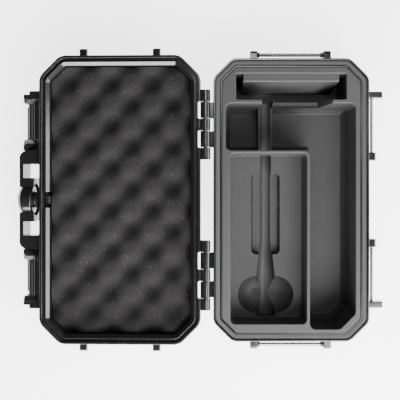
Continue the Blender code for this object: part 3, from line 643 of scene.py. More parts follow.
# ---------------------------------------------------------------------------------------------
# The insert tray. Printed in one piece in matt dark-grey plastic, so its floors carry fine slanting
# lines and its walls and bowls carry layer lines. All its edges are a little rounded.
tray_low, tray_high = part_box("insert_tray")
tray_top = tray_high.z
open_above = 3.0 * mm
edge_round = 0.9 * mm
full_turn = 2.0 * math.pi
bead_pitch = 0.62 * mm
raster_pitch = 2.1 * mm
band_pitch = 9.0 * mm
layer_pitch = 0.42 * mm
tray_edge = lip_inset + seal_gap
tray_x = rim_x - tray_edge
tray_y = rim_y - tray_edge
trough_margin_end = 5.2 * mm
trough_margin_side = 11.2 * mm
trough_length = 20.5 * mm
trough_depth = 50.0 * mm
block_reach = 6.4 * mm
block_reach_low = 12.0 * mm
block_end_gap = 5.8 * mm
block_depth = 3.0 * mm
cross_wall = 3.2 * mm
well_depth = 52.0 * mm
well_margin_side = 3.9 * mm
well_margin_end = 2.8 * mm
well_top_length = 37.6 * mm
well_corner = 4.4 * mm
well_cut = 12.4 * mm
well_bevel = 3.0 * mm
well_bevel_height = 6.0 * mm
well_draft = 1.5 * mm
well_foot = 0.8 * mm
shelf_wall = 2.6 * mm
shelf_margin_side = 6.6 * mm
shelf_margin_end = 7.0 * mm
shelf_width = 61.2 * mm
shelf_depth = 30.0 * mm
shelf_corner = 3.8 * mm
shelf_draft = 1.0 * mm
stem_x = -tray_x + 36.6 * mm
stem_radius = 4.45 * mm
stem_z = tray_top - 38.0 * mm
cone_radius = 7.7 * mm
cone_start = 71.7 * mm
cone_end = 42.0 * mm
stem_end_gap = 1.4 * mm
tunnel_room = 2.0 * mm
cradle_lip = 1.3 * mm
grip_length = 68.0 * mm
grip_width = 23.9 * mm
grip_from_end = 60.3 * mm
grip_depth = 9.0 * mm
grip_corner = 4.0 * mm
grip_scallops = 9
scallop_depth = 0.9 * mm
bowl_radius = 15.3 * mm
bowl_spacing = 15.6 * mm
bowl_from_end = 26.8 * mm
bowl_sunk = 0.4 * mm
pip_radius = 0.9 * mm
ring_radius = 3.9 * mm
notch_left = 4.7 * mm
notch_width = 47.5 * mm
notch_depth = 33.0 * mm
notch_ramp = 8.0 * mm
shelf_floor = tray_top - shelf_depth
well_floor = tray_top - well_depth
trough_high = tray_y - trough_margin_end
trough_low = trough_high - trough_length
well_high = trough_low - cross_wall
well_step = well_high - well_top_length
shelf_left = -tray_x + shelf_margin_side
shelf_right = shelf_left + shelf_width
shelf_near = -tray_y + shelf_margin_end
shelf_far = well_step - shelf_wall


def box_corners(low_x, high_x, low_y, high_y):
    corners = [(high_x, low_y), (high_x, high_y), (low_x, high_y), (low_x, low_y)]
    return [Vector(corner) for corner in corners]


def pocket(corners, top, floor, radius, draft, foot=0.6 * mm, bevel=0.0, bevel_height=0.0):
    """A cutter for a pocket with leaning walls, a flared mouth and a rounded or bevelled foot."""
    mouth = edge_round
    profile = [(draft + bevel + 4.0 * foot, floor, 0.0), (draft + bevel, floor, foot)]
    if bevel:
        profile.append((draft, floor + bevel_height, 1.2 * mm))
    profile.append((0.0, top - mouth, 0.0))
    points = eased(profile)
    for step in range(1, 6):
        turn = 0.5 * math.pi * step / 5.5
        points.append(Vector((-mouth * (1.0 - math.cos(turn)), top - mouth + mouth * math.sin(turn))))
    points.append(Vector((-mouth * 1.4, top + open_above)))
    rings = []
    for inset, z in points:
        rings.append(at_height(rounded(inset_corners(corners, inset), max(radius - inset, 0.4 * mm), 6), z))
    return loft(rings)


def well_outline():
    """The outline of the L-shaped well, with one corner cut like the case's own."""
    column = shelf_right + shelf_wall
    low_y = -tray_y + well_margin_end
    high_x = tray_x - well_margin_side
    low_x = -tray_x + well_margin_end
    corners = [
        Vector((high_x, low_y + well_cut)),
        Vector((high_x, well_high)),
        Vector((low_x, well_high)),
        Vector((low_x, well_step)),
        Vector((column, well_step)),
        Vector((column, low_y)),
        Vector((high_x - well_cut, low_y)),
    ]
    return corners


def stem_cutter(stations, top):
    """A round-bottomed slot along Y through (y, radius) stations, its mouth flared at the top."""
    rows = []
    steps = 18
    for y, reach in stations:
        row = [Vector((stem_x - reach, y, top))]
        for step in range(steps + 1):
            turn = math.pi + math.pi * step / steps
            row.append(Vector((stem_x + reach * math.cos(turn), y, stem_z + reach * math.sin(turn))))
        row.append(Vector((stem_x + reach, y, top)))
        rows.append(row)
    return loft(rows)


def grip_cutter():
    """The finger recess, whose two long walls are scalloped below the floor's edge."""
    low_y = -tray_y + grip_from_end
    half = grip_width / 2.0
    profile = [(0.0, shelf_floor + tunnel_room), (0.0, shelf_floor - 0.2 * mm)]
    profile += [(0.35 * mm, shelf_floor - mm), (0.9 * mm, shelf_floor - grip_depth + mm)]
    profile += [(1.6 * mm, shelf_floor - grip_depth)]
    rings = []
    for inset, z in profile:
        near_x, far_x = stem_x - half + inset, stem_x + half - inset
        corners = box_corners(near_x, far_x, low_y + inset, low_y + grip_length - inset)
        points = []
        outline = rounded(corners, grip_corner - inset, 6)
        reach = 0.9 * min(inset, scallop_depth)
        for index, point in enumerate(outline):
            points.append(point)
            after = outline[(index + 1) % len(outline)]
            if abs(after.y - point.y) < 0.5 * grip_length:
                continue
            cuts = 8 * grip_scallops
            for step in range(1, cuts):
                share = step / cuts
                between = point.lerp(after, share)
                wave = abs(math.sin(math.pi * grip_scallops * share)) - 0.5
                between.x += math.copysign(1.0, between.x - stem_x) * wave * reach
                points.append(between)
        rings.append(at_height(points, z))
    return loft(list(reversed(rings)))


def bowl_cutter(x):
    """A round bowl. At its bottom the last layers leave a small flat ring round a pip."""
    deep, step_up = -bowl_radius, 0.3 * mm
    profile = [(deep - step_up, 0.02 * mm), (deep - step_up, pip_radius)]
    profile += [(deep + step_up, pip_radius + 0.4 * mm), (deep + step_up, ring_radius - 0.5 * mm)]
    profile += [(deep, ring_radius - 0.3 * mm), (deep, ring_radius)]
    first = math.asin((ring_radius + 0.2 * mm) / bowl_radius)
    steps = 20
    for step in range(steps + 1):
        turn = first + (0.5 * math.pi - first) * (step / steps) ** 0.9
        profile.append((-bowl_radius * math.cos(turn), bowl_radius * math.sin(turn)))
    profile += [(0.5 * mm, bowl_radius + 0.25 * mm), (tunnel_room, bowl_radius + 0.6 * mm)]
    return moved(turned(profile, 72), x, -tray_y + bowl_from_end, shelf_floor - bowl_sunk)


def ledge_block():
    """The overhanging block at the trough's far side, with a bevelled lip."""
    top, bottom = tray_top - lip_drop, tray_top - trough_depth - mm
    corners = [(trough_high + mm, bottom), (trough_high - block_reach_low, bottom)]
    corners += [(trough_high - block_reach, top - block_depth), (trough_high - block_reach, top)]
    corners += [(trough_high + mm, top)]
    radii = [0.0, 0.0, 0.8 * mm, 0.8 * mm, 0.0]
    reach = tray_x - trough_margin_side - block_end_gap
    outline = rounded(corners, radii, 5)
    return prism(outline, -reach, reach, along_x, 1.2 * mm, 4)


def insert_tray():
    corners = case_corners(rim_x, rim_y, corner_cut)
    profile = [
        (tray_edge + base_draft + 3.0 * mm, tray_low.z, 0.0),
        (tray_edge + base_draft, tray_low.z, 0.5 * mm),
        (tray_edge, tray_top, 0.5 * mm),
        (tray_edge + 1.5 * mm, tray_top, 0.0),
    ]
    rings = []
    for inset, z in eased(profile):
        rings.append(at_height(rounded(inset_corners(corners, inset), 3.0 * mm, 6), z))
    block = loft(rings)
    foot = (well_draft, well_foot, well_bevel, well_bevel_height)
    well = pocket(well_outline(), tray_top, well_floor, well_corner, *foot)
    half = stem_radius + cradle_lip
    rib = prism(
        box_corners(stem_x - half, stem_x + half, well_step - mm, well_high + mm),
        well_floor - mm,
        stem_z,
        edge=0.0,
    )
    trough = box_corners(-tray_x + trough_margin_side, tray_x - trough_margin_side, trough_low, trough_high)
    shelf = box_corners(shelf_left, shelf_right, shelf_near, shelf_far)
    wall_far = well_high + cross_wall + mm
    stations = [
        (shelf_near + stem_end_gap, cone_radius),
        (-tray_y + cone_end, cone_radius),
        (-tray_y + cone_start, stem_radius),
        (wall_far, stem_radius),
    ]
    exit_radius = stem_radius + 0.1 * mm
    exit_stations = [(well_high - mm, exit_radius), (wall_far + mm, exit_radius)]
    left = stem_x + notch_left
    notch = [
        (left, tray_top - notch_depth),
        (left + notch_width - notch_ramp, tray_top - notch_depth),
        (left + notch_width, tray_top),
        (left + notch_width, tray_top + open_above),
        (left, tray_top + open_above),
    ]
    tray = carved(block, well)
    tray = carved(tray, rib, operation="UNION")
    tray = carved(tray, pocket(trough, tray_top, tray_top - trough_depth, 1.0 * mm, 0.6 * mm))
    tray = carved(tray, ledge_block(), operation="UNION")
    tray = carved(tray, pocket(shelf, tray_top, shelf_floor, shelf_corner, shelf_draft))
    tray = carved(
        tray,
        grip_cutter(),
        bowl_cutter(stem_x - bowl_spacing / 2.0),
        bowl_cutter(stem_x + bowl_spacing / 2.0),
        stem_cutter(stations, shelf_floor + tunnel_room),
        stem_cutter(exit_stations, tray_top + open_above),
        prism(notch, well_high - mm, wall_far, along_y, edge=0.0),
    )
    return tray


def printed_finish():
    """Matt printed plastic: slanting lines on level faces, layer lines on walls and in bowls."""
    finish = Finish("printed_tray", specular_ior_level=0.4)
    level = abs(finish.facing("Z")).over(0.985, 0.02)
    slant = finish.axis("X") + finish.axis("Y")
    height = finish.axis("Z")
    drift = finish.noise(14 * mm, detail=3.0)
    broad = finish.noise(60 * mm)
    across = finish.axis("X") - finish.axis("Y")
    lines = (slant * (full_turn / bead_pitch) + drift * 3.0).sine()
    raster = (slant * (full_turn / raster_pitch) + drift * 2.0).sine()
    bands = (across * (full_turn / band_pitch) + drift * 6.0).sine()
    layers = (height * (full_turn / layer_pitch)).sine()
    grit = finish.noise(0.7 * mm, detail=2.0)
    relief = level * lines + (1.0 - level) * layers + grit * 1.2
    tone = broad * 0.4 + grit * 0.3 + drift * 0.2 + (raster * 0.11 + bands * 0.05) * level + 0.08
    colour = finish.mix(tone, grey(0.034), grey(0.062))
    return finish.feed(relief, 0.035 * mm, base_color=colour, roughness=0.36 + grit * 0.2)


piece("insert_tray_printed", insert_tray(), printed_finish(), "base", "tray_grey", "insert_tray")

# ---------------------------------------------------------------------------------------------
# The lid shell. Moulded like the base and modelled shut, then laid open on its hinges. Its skirt
# covers the base's rim, a groove takes that rim's wall, and the sloping inner wall holds the foam.
lid_overlap = 2.6 * mm
lid_height = 27.0 * mm
lid_roof = 3.0 * mm
lid_band = 6.5 * mm
lid_wall_inset = 4.4 * mm
lid_wall_draft = 1.5 * mm
roof_chamfer = 4.4 * mm
panel_inset = 24.0 * mm
panel_sunk = 0.6 * mm
rib_width = 0.9 * mm
rib_drop = 0.9 * mm
lid_inner_inset = 8.0 * mm
foam_below_rim = 6.0 * mm
lid_inner_slope = 1.4 * mm
lid_lug_x = 29.5 * mm
lid_lug_out = 5.6 * mm
relief_gap = 0.6 * mm
knuckle_notch = 2.2 * mm
lid_x = rim_x + lid_overlap
lid_y = rim_y + lid_overlap
open_turn = math.radians(joints["lid_hinge"]["range_deg"][1])
lay_open = (
    Matrix.Translation(hinge_axis) @ Matrix.Rotation(-open_turn, 4, "Y") @ Matrix.Translation(-hinge_axis)
)
rail_x = lid_x + 2.3 * mm
rail_half = 88.0 * mm
rail_in = lid_x - lid_wall_inset - 1.6 * mm
rail_rib = 2.4 * mm
rail_low = rim_z + 2.0 * mm
bumper_front = lid_x + 16.6 * mm
bumper_root = 46.2 * mm
bumper_face = 36.8 * mm
bumper_opening = 28.8 * mm
valve_seat_half = 8.0 * mm
shroud_wall = 4.5 * mm
shroud_gap = 2.6 * mm
bumper_wall = 3.1 * mm
bumper_top = rim_z + 26.0 * mm
bumper_bottom = rail_low
valve_z = rim_z + 10.4 * mm
knob_radius = 12.5 * mm
pocket_half = 6.4 * mm
pocket_floor = lid_x - 3.9 * mm
latch_x = lid_x + 8.0 * mm
latch_z = rim_z + 9.0 * mm
latch_pin_radius = 1.1 * mm
latch_width = 29.0 * mm
latch_y = 63.3 * mm
ear_out = 13.8 * mm
inner_ear = 9.0 * mm
outer_ear = 7.4 * mm
ear_height = 14.0 * mm
ear_slope = 3.4 * mm
guard_out = 9.6 * mm
guard_width = 2.7 * mm
guard_rounding = 3.0 * mm


def lid_ring(inset, z):
    """A ring of the lid's outline, by its distance in from the skirt's outer face."""
    return rim_ring(inset - lid_overlap, z)


def lid_arm():
    x = hinge_axis.x
    return [
        (x + 0.3 * knuckle_radius, rim_z + relief_gap),
        (-lid_x + 1.6 * mm, rim_z + relief_gap),
        (-lid_x + 1.6 * mm, rim_z + lid_band - relief_gap),
        (x + 0.5 * knuckle_radius, rim_z + 0.8 * knuckle_radius),
        (x - 0.4 * knuckle_radius, rim_z + 0.62 * knuckle_radius),
    ]


def front_rail():
    """The rail along the front wall, with a rib behind each latch."""
    low, high = rail_low, rim_z + lid_height - roof_chamfer - mm
    corners = [(rail_in, low), (rail_x, low), (rail_x, high - 3.0 * mm), (rail_in, high)]
    outline = rounded(corners, [0.0, 0.9 * mm, 1.5 * mm, 0.0], 4)
    rail = prism(outline, -rail_half, rail_half, along_y, 0.6 * mm)
    rib_x, rib_top = rail_x + rail_rib, latch_z + mm
    corners = [(rail_in, low), (rib_x, low), (rib_x, latch_z - 1.5 * mm)]
    corners += [(rail_x, rib_top), (rail_in, rib_top)]
    behind = rounded(corners, [0.0, 0.6 * mm, 0.6 * mm, 0.0, 0.0], 3)
    ribs = []
    for side in sides.values():
        ends = sorted(side * (latch_y + turn * latch_width / 2.0) for turn in (-1.0, 1.0))
        ribs.append(prism(behind, *ends, along_y, edge=0.0))
    return joined(rail, *ribs)


def bumper():
    """A guard round the purge knob, open from one side to the other."""
    side_x = lid_x + 2.4 * mm
    corners = [(rail_in, -bumper_root), (side_x, -bumper_root), (bumper_front, -bumper_face)]
    corners += [(bumper_front, bumper_face), (side_x, bumper_root), (rail_in, bumper_root)]
    radii = [0.0, 2.0 * mm, 2.4 * mm, 2.4 * mm, 2.0 * mm, 0.0]
    outline = rounded(corners, radii, 5)
    return prism(outline, bumper_bottom, bumper_top, along_z, 1.2 * mm, 4)


def bumper_openings():
    """Cutters for the guard's openings and for the knob's round window, with its flared rim."""
    low, high = rim_z - mm, bumper_top + mm
    outer = bumper_front - bumper_wall
    shroud_start = rail_x + shroud_gap
    shroud = knob_radius + relief_gap + shroud_wall
    seat = valve_seat_half
    spans = [(rail_x, shroud_start, -seat, seat)]
    for side in sides.values():
        for near, far_x in ((seat - seal_gap, shroud_start), (shroud, outer)):
            near_y, far_y = sorted((side * near, side * bumper_opening))
            spans.append((lid_x, far_x, near_y, far_y))
    cutters = []
    for near_x, far_x, near_y, far_y in spans:
        cutters.append(prism(box_corners(near_x, far_x, near_y, far_y), low, high, edge=0.0))
    reach = knob_radius + relief_gap
    flare = [(bumper_front - mm, reach), (bumper_front - 0.4 * mm, reach + 0.2 * mm)]
    flare += [(bumper_front, reach + 0.6 * mm), (bumper_front + mm, reach + 2.0 * mm)]
    window = turned([(rail_x, reach), *flare], 64, way=along_x)
    return [*cutters, moved(window, 0.0, 0.0, valve_z)]


def ear(near, far, tip, slope):
    """An ear beside the latch. Its inner side slopes away at the end that the open lid shows."""
    root = lid_x - mm
    low, high = latch_z - ear_height / 2.0, latch_z + ear_height / 2.0
    rings = []
    for inset, drop, z in (
        (slope, 0.9 * mm, low),
        (slope, 0.3 * mm, low + 0.3 * mm),
        (0.3 * mm, 0.0, low + slope),
        (0.1 * mm, 0.0, low + slope + 0.5 * mm),
        (0.1 * mm, 0.0, high - 2.0 * mm),
        (0.2 * mm, 0.5 * mm, high - 0.6 * mm),
        (0.6 * mm, 1.2 * mm, high),
    ):
        cut = 0.5 * mm + 0.6 * inset
        corners = [(root, near + inset), (tip - drop - cut, near + inset), (tip - drop, near + inset + cut)]
        corners += [(tip - drop, far - 0.3 * drop), (root, far - 0.3 * drop)]
        radii = [0.0, 0.1 * mm, 0.1 * mm, 0.7 * mm, 0.0]
        rings.append(at_height(rounded(corners, radii, 3), z))
    solid = loft(rings)
    drill = rod(near - mm, far + mm, latch_pin_radius + bore_gap, 0.0, 0.0, along_y, 24)
    return carved(solid, moved(drill, latch_x, 0.0, latch_z))


def latch_ears(side):
    """The two ears beside one latch, and the guard lug outside them."""
    inner, outer = latch_y - latch_width / 2.0, latch_y + latch_width / 2.0
    made = []
    flip = Matrix.Translation((0.0, inner, 0.0)) @ Matrix.Scale(-1.0, 4, (0, 1, 0))
    made.append(placed(ear(0.0, inner_ear, lid_x + ear_out, ear_slope), flip))
    made.append(ear(outer, outer + outer_ear, lid_x + ear_out, ear_slope))
    far = outer + outer_ear
    bore = latch_pin_radius + bore_gap
    guard = (far - mm, far + guard_width, lid_x - mm, lid_x + guard_out, latch_z, ear_height, along_y)
    made.append(lug(*guard, latch_x, bore, guard_rounding))
    return [mirrored(mesh, side) for mesh in made]


def lid_shell():
    wall_in = lid_overlap + rim_wall + seal_gap
    profile = [
        (lid_inner_inset + 6.0 * mm, rim_z + lid_height - lid_roof, 0.0),
        (lid_inner_inset + 1.0 * mm, rim_z + lid_height - lid_roof, 1.0 * mm),
        (lid_inner_inset, rim_z + foam_below_rim, 2.0 * mm),
        (lid_inner_inset, rim_z + lid_inner_slope, 0.3 * mm),
        (wall_in + rib_width, rim_z - rib_drop, 0.3 * mm),
        (wall_in, rim_z - rib_drop, 0.25 * mm),
        (wall_in, rim_z + seal_gap, 0.15 * mm),
        (lid_overlap - seal_gap, rim_z + seal_gap, 0.15 * mm),
        (lid_overlap - seal_gap, rim_z - skirt_drop, 0.4 * mm),
        (0.0, rim_z - skirt_drop, 0.8 * mm),
        (0.0, rim_z + lid_band - mm, 0.8 * mm),
        (lid_wall_inset, rim_z + lid_band + mm, 0.8 * mm),
        (lid_wall_inset + lid_wall_draft, rim_z + lid_height - roof_chamfer, 2.0 * mm),
        (lid_wall_inset + lid_wall_draft + roof_chamfer, rim_z + lid_height, 2.0 * mm),
        (panel_inset, rim_z + lid_height, 0.4 * mm),
        (panel_inset + panel_sunk, rim_z + lid_height - panel_sunk, 0.4 * mm),
        (panel_inset + 8.0 * mm, rim_z + lid_height - panel_sunk, 0.0),
    ]
    shell = loft([lid_ring(inset, z) for inset, z in eased(profile)])
    cutters = []
    for name in sides:
        for span in knuckle_spans(name)[1::2]:
            low_y, high_y = span[0] - knuckle_gap, span[1] + knuckle_gap
            notch = box_corners(-lid_x - mm, -lid_x + knuckle_notch, low_y, high_y)
            outline = rounded(notch, [mm, mm, 0.0, 0.0], 4)
            cutters.append(prism(outline, rim_z - 3.0 * mm, rim_z + lid_band + 2.0 * mm, edge=0.0))
    inner_x = lid_x - lid_inner_inset - 3.0 * mm
    low, high = rim_z - 3.0 * mm, valve_z + pocket_half
    corners = [(-pocket_half, low), (pocket_half, low), (pocket_half, high), (-pocket_half, high)]
    recess = rounded(corners, [0.0, 0.0, 3.0 * mm, 3.0 * mm], 6)
    cutters.append(prism(recess, inner_x, pocket_floor, along_x, edge=0.0))
    shell = carved(shell, *cutters)
    solids = [shell, carved(front_rail(), *bumper_openings()), carved(bumper(), *bumper_openings())]
    for name, side in sides.items():
        solids += latch_ears(side)
        for x in (-lid_lug_x, lid_lug_x):
            low, high = x - strap_lug_width / 2.0, x + strap_lug_width / 2.0
            size = (rim_z + lid_band / 2.0, lid_band - mm, along_x, lid_y + 3.0 * mm, 0.7 * mm, 1.4 * mm)
            solid = lug(low, high, lid_y - 2.0 * mm, lid_y + lid_lug_out, *size)
            solids.append(mirrored(solid, side))
        for span in knuckle_spans(name)[0::2]:
            solids += knuckle(span, lid_arm())
    return placed(joined(*solids), lay_open)


piece("lid_shell_moulding", lid_shell(), black_gloss, "lid", "gloss_black", "lid_shell")

# ---------------------------------------------------------------------------------------------
# The foam pad. Charcoal open-cell foam cut in an egg-crate face, pressed into the lid, so its
# valleys leave scalloped gaps along the walls.
foam_gap = 0.5 * mm
foam_pitch = 34.0 * mm
foam_swing = 6.6 * mm
foam_valley = Vector((43.0 * mm, 63.2 * mm))  # one valley, in the shut lid
foam_half_x = lid_x - lid_inner_inset - foam_gap
foam_half_y = lid_y - lid_inner_inset - foam_gap
foam_cut = corner_cut - (math.sqrt(2.0) - 1.0) * math.sqrt(2.0) * (lid_inner_inset + foam_gap - lid_overlap)
foam_face = rim_z + foam_below_rim
foam_back = rim_z + lid_height - lid_roof - seal_gap


def foam_finish():
    finish = Finish("charcoal_foam", roughness=0.95, specular_ior_level=0.2)
    values = {"Vector": finish.place, "Scale": 1.0 / (0.9 * mm)}
    cells = finish.node("ShaderNodeTexVoronoi", values, out="Distance")
    fluff = finish.noise(2.6 * mm, detail=5.0, roughness=0.7)
    cloud = finish.noise(30 * mm)
    values = {"Vector": finish.place, "Scale": 1.0 / (2.4 * mm)}
    near = finish.node("ShaderNodeTexVoronoi", values, out="Distance")
    chance = finish.axis("X", finish.node("ShaderNodeTexVoronoi", values, out="Color"))
    glint = (1.0 - near.over(0.13, 0.08)) * chance.over(0.75, 0.4)
    grit = finish.noise(0.9 * mm, detail=2.0)
    share = fluff * 0.5 + grit * 0.7 + cloud * 0.2 - 0.2
    colour = finish.mix(share, (0.009, 0.0085, 0.0085, 1.0), (0.029, 0.0272, 0.0272, 1.0))
    colour = finish.mix(glint, colour, grey(0.13))
    height = cells * 0.6 + fluff
    return finish.feed(height, 0.5 * mm, base_color=colour)


def foam_tree():
    """Bends a block's face into the egg-crate and cuts its corners to the lid's outline."""
    group = bpy.data.node_groups.new("egg_crate", "GeometryNodeTree")
    sizes = {"Half Width": foam_half_x, "Half Length": foam_half_y, "Corner Cut": foam_cut}
    sizes |= {"Back": foam_back, "Face": foam_face, "Swing": foam_swing, "Pitch": foam_pitch}
    sizes |= {"Valley X": foam_valley.x, "Valley Y": foam_valley.y}
    for name in sizes:
        group.interface.new_socket(name, in_out="INPUT", socket_type="NodeSocketFloat")
    group.interface.new_socket("Foam", in_out="INPUT", socket_type="NodeSocketMaterial")
    group.interface.new_socket("Geometry", in_out="OUTPUT", socket_type="NodeSocketGeometry")
    tree = Tree(group)
    given = group.nodes.new("NodeGroupInput")
    size = {name: Value(tree, given.outputs[name]) for name in sizes}
    block = tree.node("GeometryNodeMeshCube", [(2.0, 2.0, 1.0), 96, 170, 7])
    spot = tree.node("GeometryNodeInputPosition")
    u, v, w = (tree.node("ShaderNodeSeparateXYZ", [spot], out=name) for name in "XYZ")
    y = v * size["Half Length"]
    past = abs(y) - (size["Half Length"] - size["Corner Cut"])
    half = size["Half Width"] - past.math("MAXIMUM", past, 0.0)
    x = u * half
    across = (x - size["Valley X"]) / size["Pitch"] * full_turn
    down = (y - size["Valley Y"]) / size["Pitch"] * full_turn
    wave = across.math("COSINE", across) * down.math("COSINE", down)
    pit = (wave + 1.0) * 0.5
    face = size["Face"] + size["Swing"] * pit.math("POWER", pit, 1.7)
    rise = 0.5 - w
    z = size["Back"] + (face - size["Back"]) * rise
    bent = tree.node("ShaderNodeCombineXYZ", [x, y, z])
    shaped = tree.node("GeometryNodeSetPosition", {"Geometry": block, "Position": bent})
    flipped = tree.node("GeometryNodeFlipFaces", [shaped])
    solid = tree.node("GeometryNodeRealizeInstances", [flipped])
    values = {"Geometry": solid, "Material": Value(tree, given.outputs["Foam"])}
    painted = tree.node("GeometryNodeSetMaterial", values)
    out = group.nodes.new("NodeGroupOutput")
    group.links.new(painted.socket, out.inputs[0])
    return group, sizes


def grown(group, sizes, **materials):
    """Runs a node group on an empty mesh and returns the plain mesh that it makes."""
    host = bpy.data.objects.new("host", bpy.data.meshes.new("host"))
    bpy.context.scene.collection.objects.link(host)
    run = host.modifiers.new("run", "NODES")
    run.node_group = group
    for item in group.interface.items_tree:
        if item.in_out == "INPUT":
            run[item.identifier] = sizes[item.name] if item.name in sizes else materials[item.name.lower()]
    seen = host.evaluated_get(bpy.context.evaluated_depsgraph_get())
    mesh = bpy.data.meshes.new_from_object(seen)
    host.modifiers.remove(run)
    bpy.data.objects.remove(host)
    return mesh


foam_material = foam_finish()
foam_mesh = grown(*foam_tree(), foam=foam_material)
foam_mesh = placed(foam_mesh, lay_open)
foam = piece("foam_egg_crate", foam_mesh, foam_material, "lid", "foam_charcoal", "foam_pad", smooth=60.0)

# ---------------------------------------------------------------------------------------------
# Bars, rods, pins and rings. Ground steel rods run through the moulded lugs and knuckles, and
# black push-on rings stop the strap bars from sliding out.


def steel_finish():
    finish = Finish("ground_steel", base_color=(0.23, 0.23, 0.24, 1.0), metallic=1.0)
    drawn = finish.noise(0.5 * mm, detail=3.0)
    stain = finish.noise(7 * mm, detail=4.0)
    return finish.feed(drawn, 0.002 * mm, roughness=0.2 + stain * 0.12)


def bar(name, body, way):
    """The rod that a CAD node stands for, with broken ends and more sides."""
    low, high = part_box(name)
    middle = (low + high) / 2.0
    radius = (high.z - low.z) / 2.0
    if way == along_x:
        mesh = moved(rod(low.x, high.x, radius, 0.3 * mm, 0.0, way, 40), 0.0, middle.y, middle.z)
    else:
        mesh = moved(rod(low.y, high.y, radius, 0.3 * mm, 0.0, way, 40), middle.x, 0.0, middle.z)
    piece(name + "_steel", mesh, ground_steel, body, "steel", name)


ground_steel = steel_finish()
black_satin = gloss_finish("black_satin", 0.016, 0.38)
for side_name in sides:
    bar("strap_bar_" + side_name, "base", along_x)
    bar("keeper_rod_" + side_name, "base", along_y)
    bar("hinge_pin_" + side_name, "base", along_y)
    bar("latch_pin_" + side_name, "lid", along_y)
    for end in ("hinge", "latch"):
        name = f"bar_collar_{side_name}_{end}"
        low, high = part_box(name)
        ring_radius = (high.z - low.z) / 2.0
        collar = rod(low.x, high.x, ring_radius, 0.3 * mm, strap_radius + 0.15 * mm, along_x)
        middle = (low + high) / 2.0
        collar = moved(collar, 0.0, middle.y, middle.z)
        piece(name + "_ring", collar, black_satin, "base", "satin_black", name)

# ---------------------------------------------------------------------------------------------
# The latches. Each is one satin black lever on a steel pin between two ears. It hangs down while
# the lid is open, and its hook catches under the keeper rod when the lid is shut.
barrel_radius = 2.8 * mm
lever_thickness = 2.6 * mm
lever_length = 29.0 * mm


def latch_outline():
    """The lever's section as it stands with the lid shut: plate, hook and finger lip."""
    rod_x, rod_z = keeper_x - latch_x, keeper_z - latch_z
    outer = barrel_radius
    inner = outer - lever_thickness
    hook_top = rod_z - keeper_radius - 0.5 * mm
    hook_low = hook_top - 2.2 * mm
    lip_near = rod_x - keeper_radius - 0.5 * mm
    lip_far = lip_near - 1.4 * mm
    corners = [
        (outer, 0.0, 0.0),
        (inner, 0.0, 0.0),
        (inner, hook_top, 0.8 * mm),
        (lip_near, hook_top, 0.3 * mm),
        (lip_near, hook_top + 1.6 * mm, 0.6 * mm),
        (lip_far, hook_top + 1.6 * mm, 0.6 * mm),
        (lip_far, hook_low, 1.2 * mm),
        (inner, hook_low, 0.8 * mm),
        (inner, -lever_length + 1.5 * mm, 1.0 * mm),
        (inner + 2.6 * mm, -lever_length - 1.0 * mm, 0.8 * mm),
        (outer + 2.4 * mm, -lever_length - 1.0 * mm, 0.8 * mm),
        (outer, -lever_length + 4.0 * mm, 3.0 * mm),
    ]
    return rounded([corner[:2] for corner in corners], [corner[2] for corner in corners], 5)


def make_latch(name, side):
    """One latch, turned half a turn from its shut place so that it hangs from the open lid."""
    half = latch_width / 2.0 - seal_gap
    plate = prism(latch_outline(), -half, half, along_y, 0.5 * mm)
    barrel = rod(-half, half, barrel_radius, 0.4 * mm, latch_pin_radius + bore_gap, along_y, 40)
    hang = Matrix.Translation((latch_x, side * latch_y, latch_z)) @ Matrix.Rotation(math.pi, 4, "Y")
    mesh = placed(joined(plate, barrel), lay_open @ hang)
    node = "latch_lever_" + name
    piece(node + "_moulding", mesh, black_satin, "latch_" + name, "satin_black", node)


for side_name, side in sides.items():
    make_latch(side_name, side)

# ---------------------------------------------------------------------------------------------
# The purge valve. A black threaded body clamps a rubber ring on the lid's front wall with a nut
# inside, and a round knob screws down on it inside the bumper.
thread_radius = 3.0 * mm
thread_pitch = 0.8 * mm
valve_stem_radius = 2.0 * mm
flange_radius = 6.5 * mm
nut_radius = 5.4 * mm
nut_thickness = 3.0 * mm
seal_thickness = 1.0 * mm
flange_thickness = 2.0 * mm
knob_front = lid_x + 18.4 * mm
knob_grip_half = 1.8 * mm
seal_start = rail_x + seal_gap
flange_start = seal_start + seal_thickness + seal_gap
flange_end = flange_start + flange_thickness
knob_start = flange_end + seal_gap
nut_end = pocket_floor - seal_gap


def on_valve(mesh):
    """A piece turned about the valve's axis, put in place on the open lid."""
    return placed(moved(mesh, 0.0, 0.0, valve_z), lay_open)


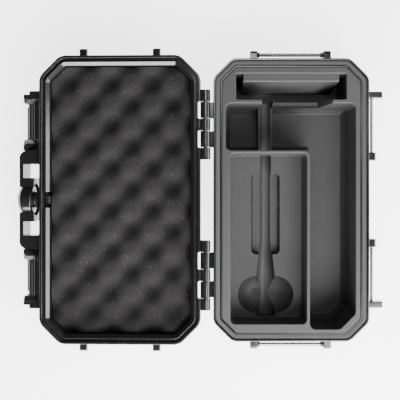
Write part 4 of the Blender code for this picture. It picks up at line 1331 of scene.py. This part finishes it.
def valve_body():
    start = nut_end - nut_thickness - mm
    profile = [(start, thread_radius - 0.5 * mm)]
    for turn in range(int((nut_thickness + mm) / thread_pitch)):
        profile.append((start + (turn + 0.45) * thread_pitch, thread_radius))
        profile.append((start + (turn + 0.95) * thread_pitch, thread_radius - 0.4 * mm))
    broken = 0.3 * mm
    profile += [(nut_end, thread_radius), (flange_start, thread_radius)]
    profile += [(flange_start, flange_radius - broken), (flange_start + broken, flange_radius)]
    profile += [(flange_end - broken, flange_radius), (flange_end, flange_radius - broken)]
    profile += [(flange_end, valve_stem_radius), (knob_start + 4.0 * mm, valve_stem_radius)]
    return turned(profile, 40, way=along_x)


def valve_nut():
    corners = []
    for step in range(6):
        turn = math.pi * step / 3.0
        corners.append(Vector((nut_radius * math.cos(turn), nut_radius * math.sin(turn))))
    solid = prism(rounded(corners, 0.5 * mm, 3), nut_end - nut_thickness, nut_end, along_x, 0.4 * mm)
    drill = rod(nut_end - 2.0 * nut_thickness, nut_end + mm, thread_radius + 0.1 * mm, 0.0, way=along_x)
    return carved(solid, drill)


def purge_knob():
    """A thick disc with a rounded rim, a shallow dish in its face and a raised grip across it."""
    dish = knob_front - 0.7 * mm
    edge = [
        (knob_start, knob_radius - 1.8 * mm, 0.0),
        (knob_start + 1.2 * mm, knob_radius, 1.0 * mm),
        (knob_front - 3.4 * mm, knob_radius, 3.0 * mm),
        (knob_front, knob_radius - 4.4 * mm, 1.2 * mm),
        (dish, knob_radius - 6.2 * mm, 1.0 * mm),
        (dish, 0.05 * mm, 0.0),
    ]
    disc = turned([(point.x, point.y) for point in eased(edge)], 64, way=along_x)
    reach = knob_radius - 3.4 * mm
    grip = rounded(box_corners(-reach, reach, -knob_grip_half, knob_grip_half), 1.6 * mm, 5)
    return joined(disc, prism(grip, knob_front - 1.4 * mm, knob_front, along_x, 0.5 * mm))


def valve_seal():
    bore = thread_radius + bore_gap
    return rod(seal_start, seal_start + seal_thickness, flange_radius - mm, 0.3 * mm, bore, along_x)


valve_parts = [
    ("valve_body", valve_body(), black_satin, "lid", "satin_black"),
    ("valve_nut", valve_nut(), black_satin, "lid", "satin_black"),
    ("valve_seal", valve_seal(), seal_rubber, "lid", "seal_grey"),
    ("purge_knob", purge_knob(), black_gloss, "purge_knob", "satin_black"),
]
for name, mesh, finish, body, slot in valve_parts:
    piece(name + "_moulding", on_valve(mesh), finish, body, slot, name)
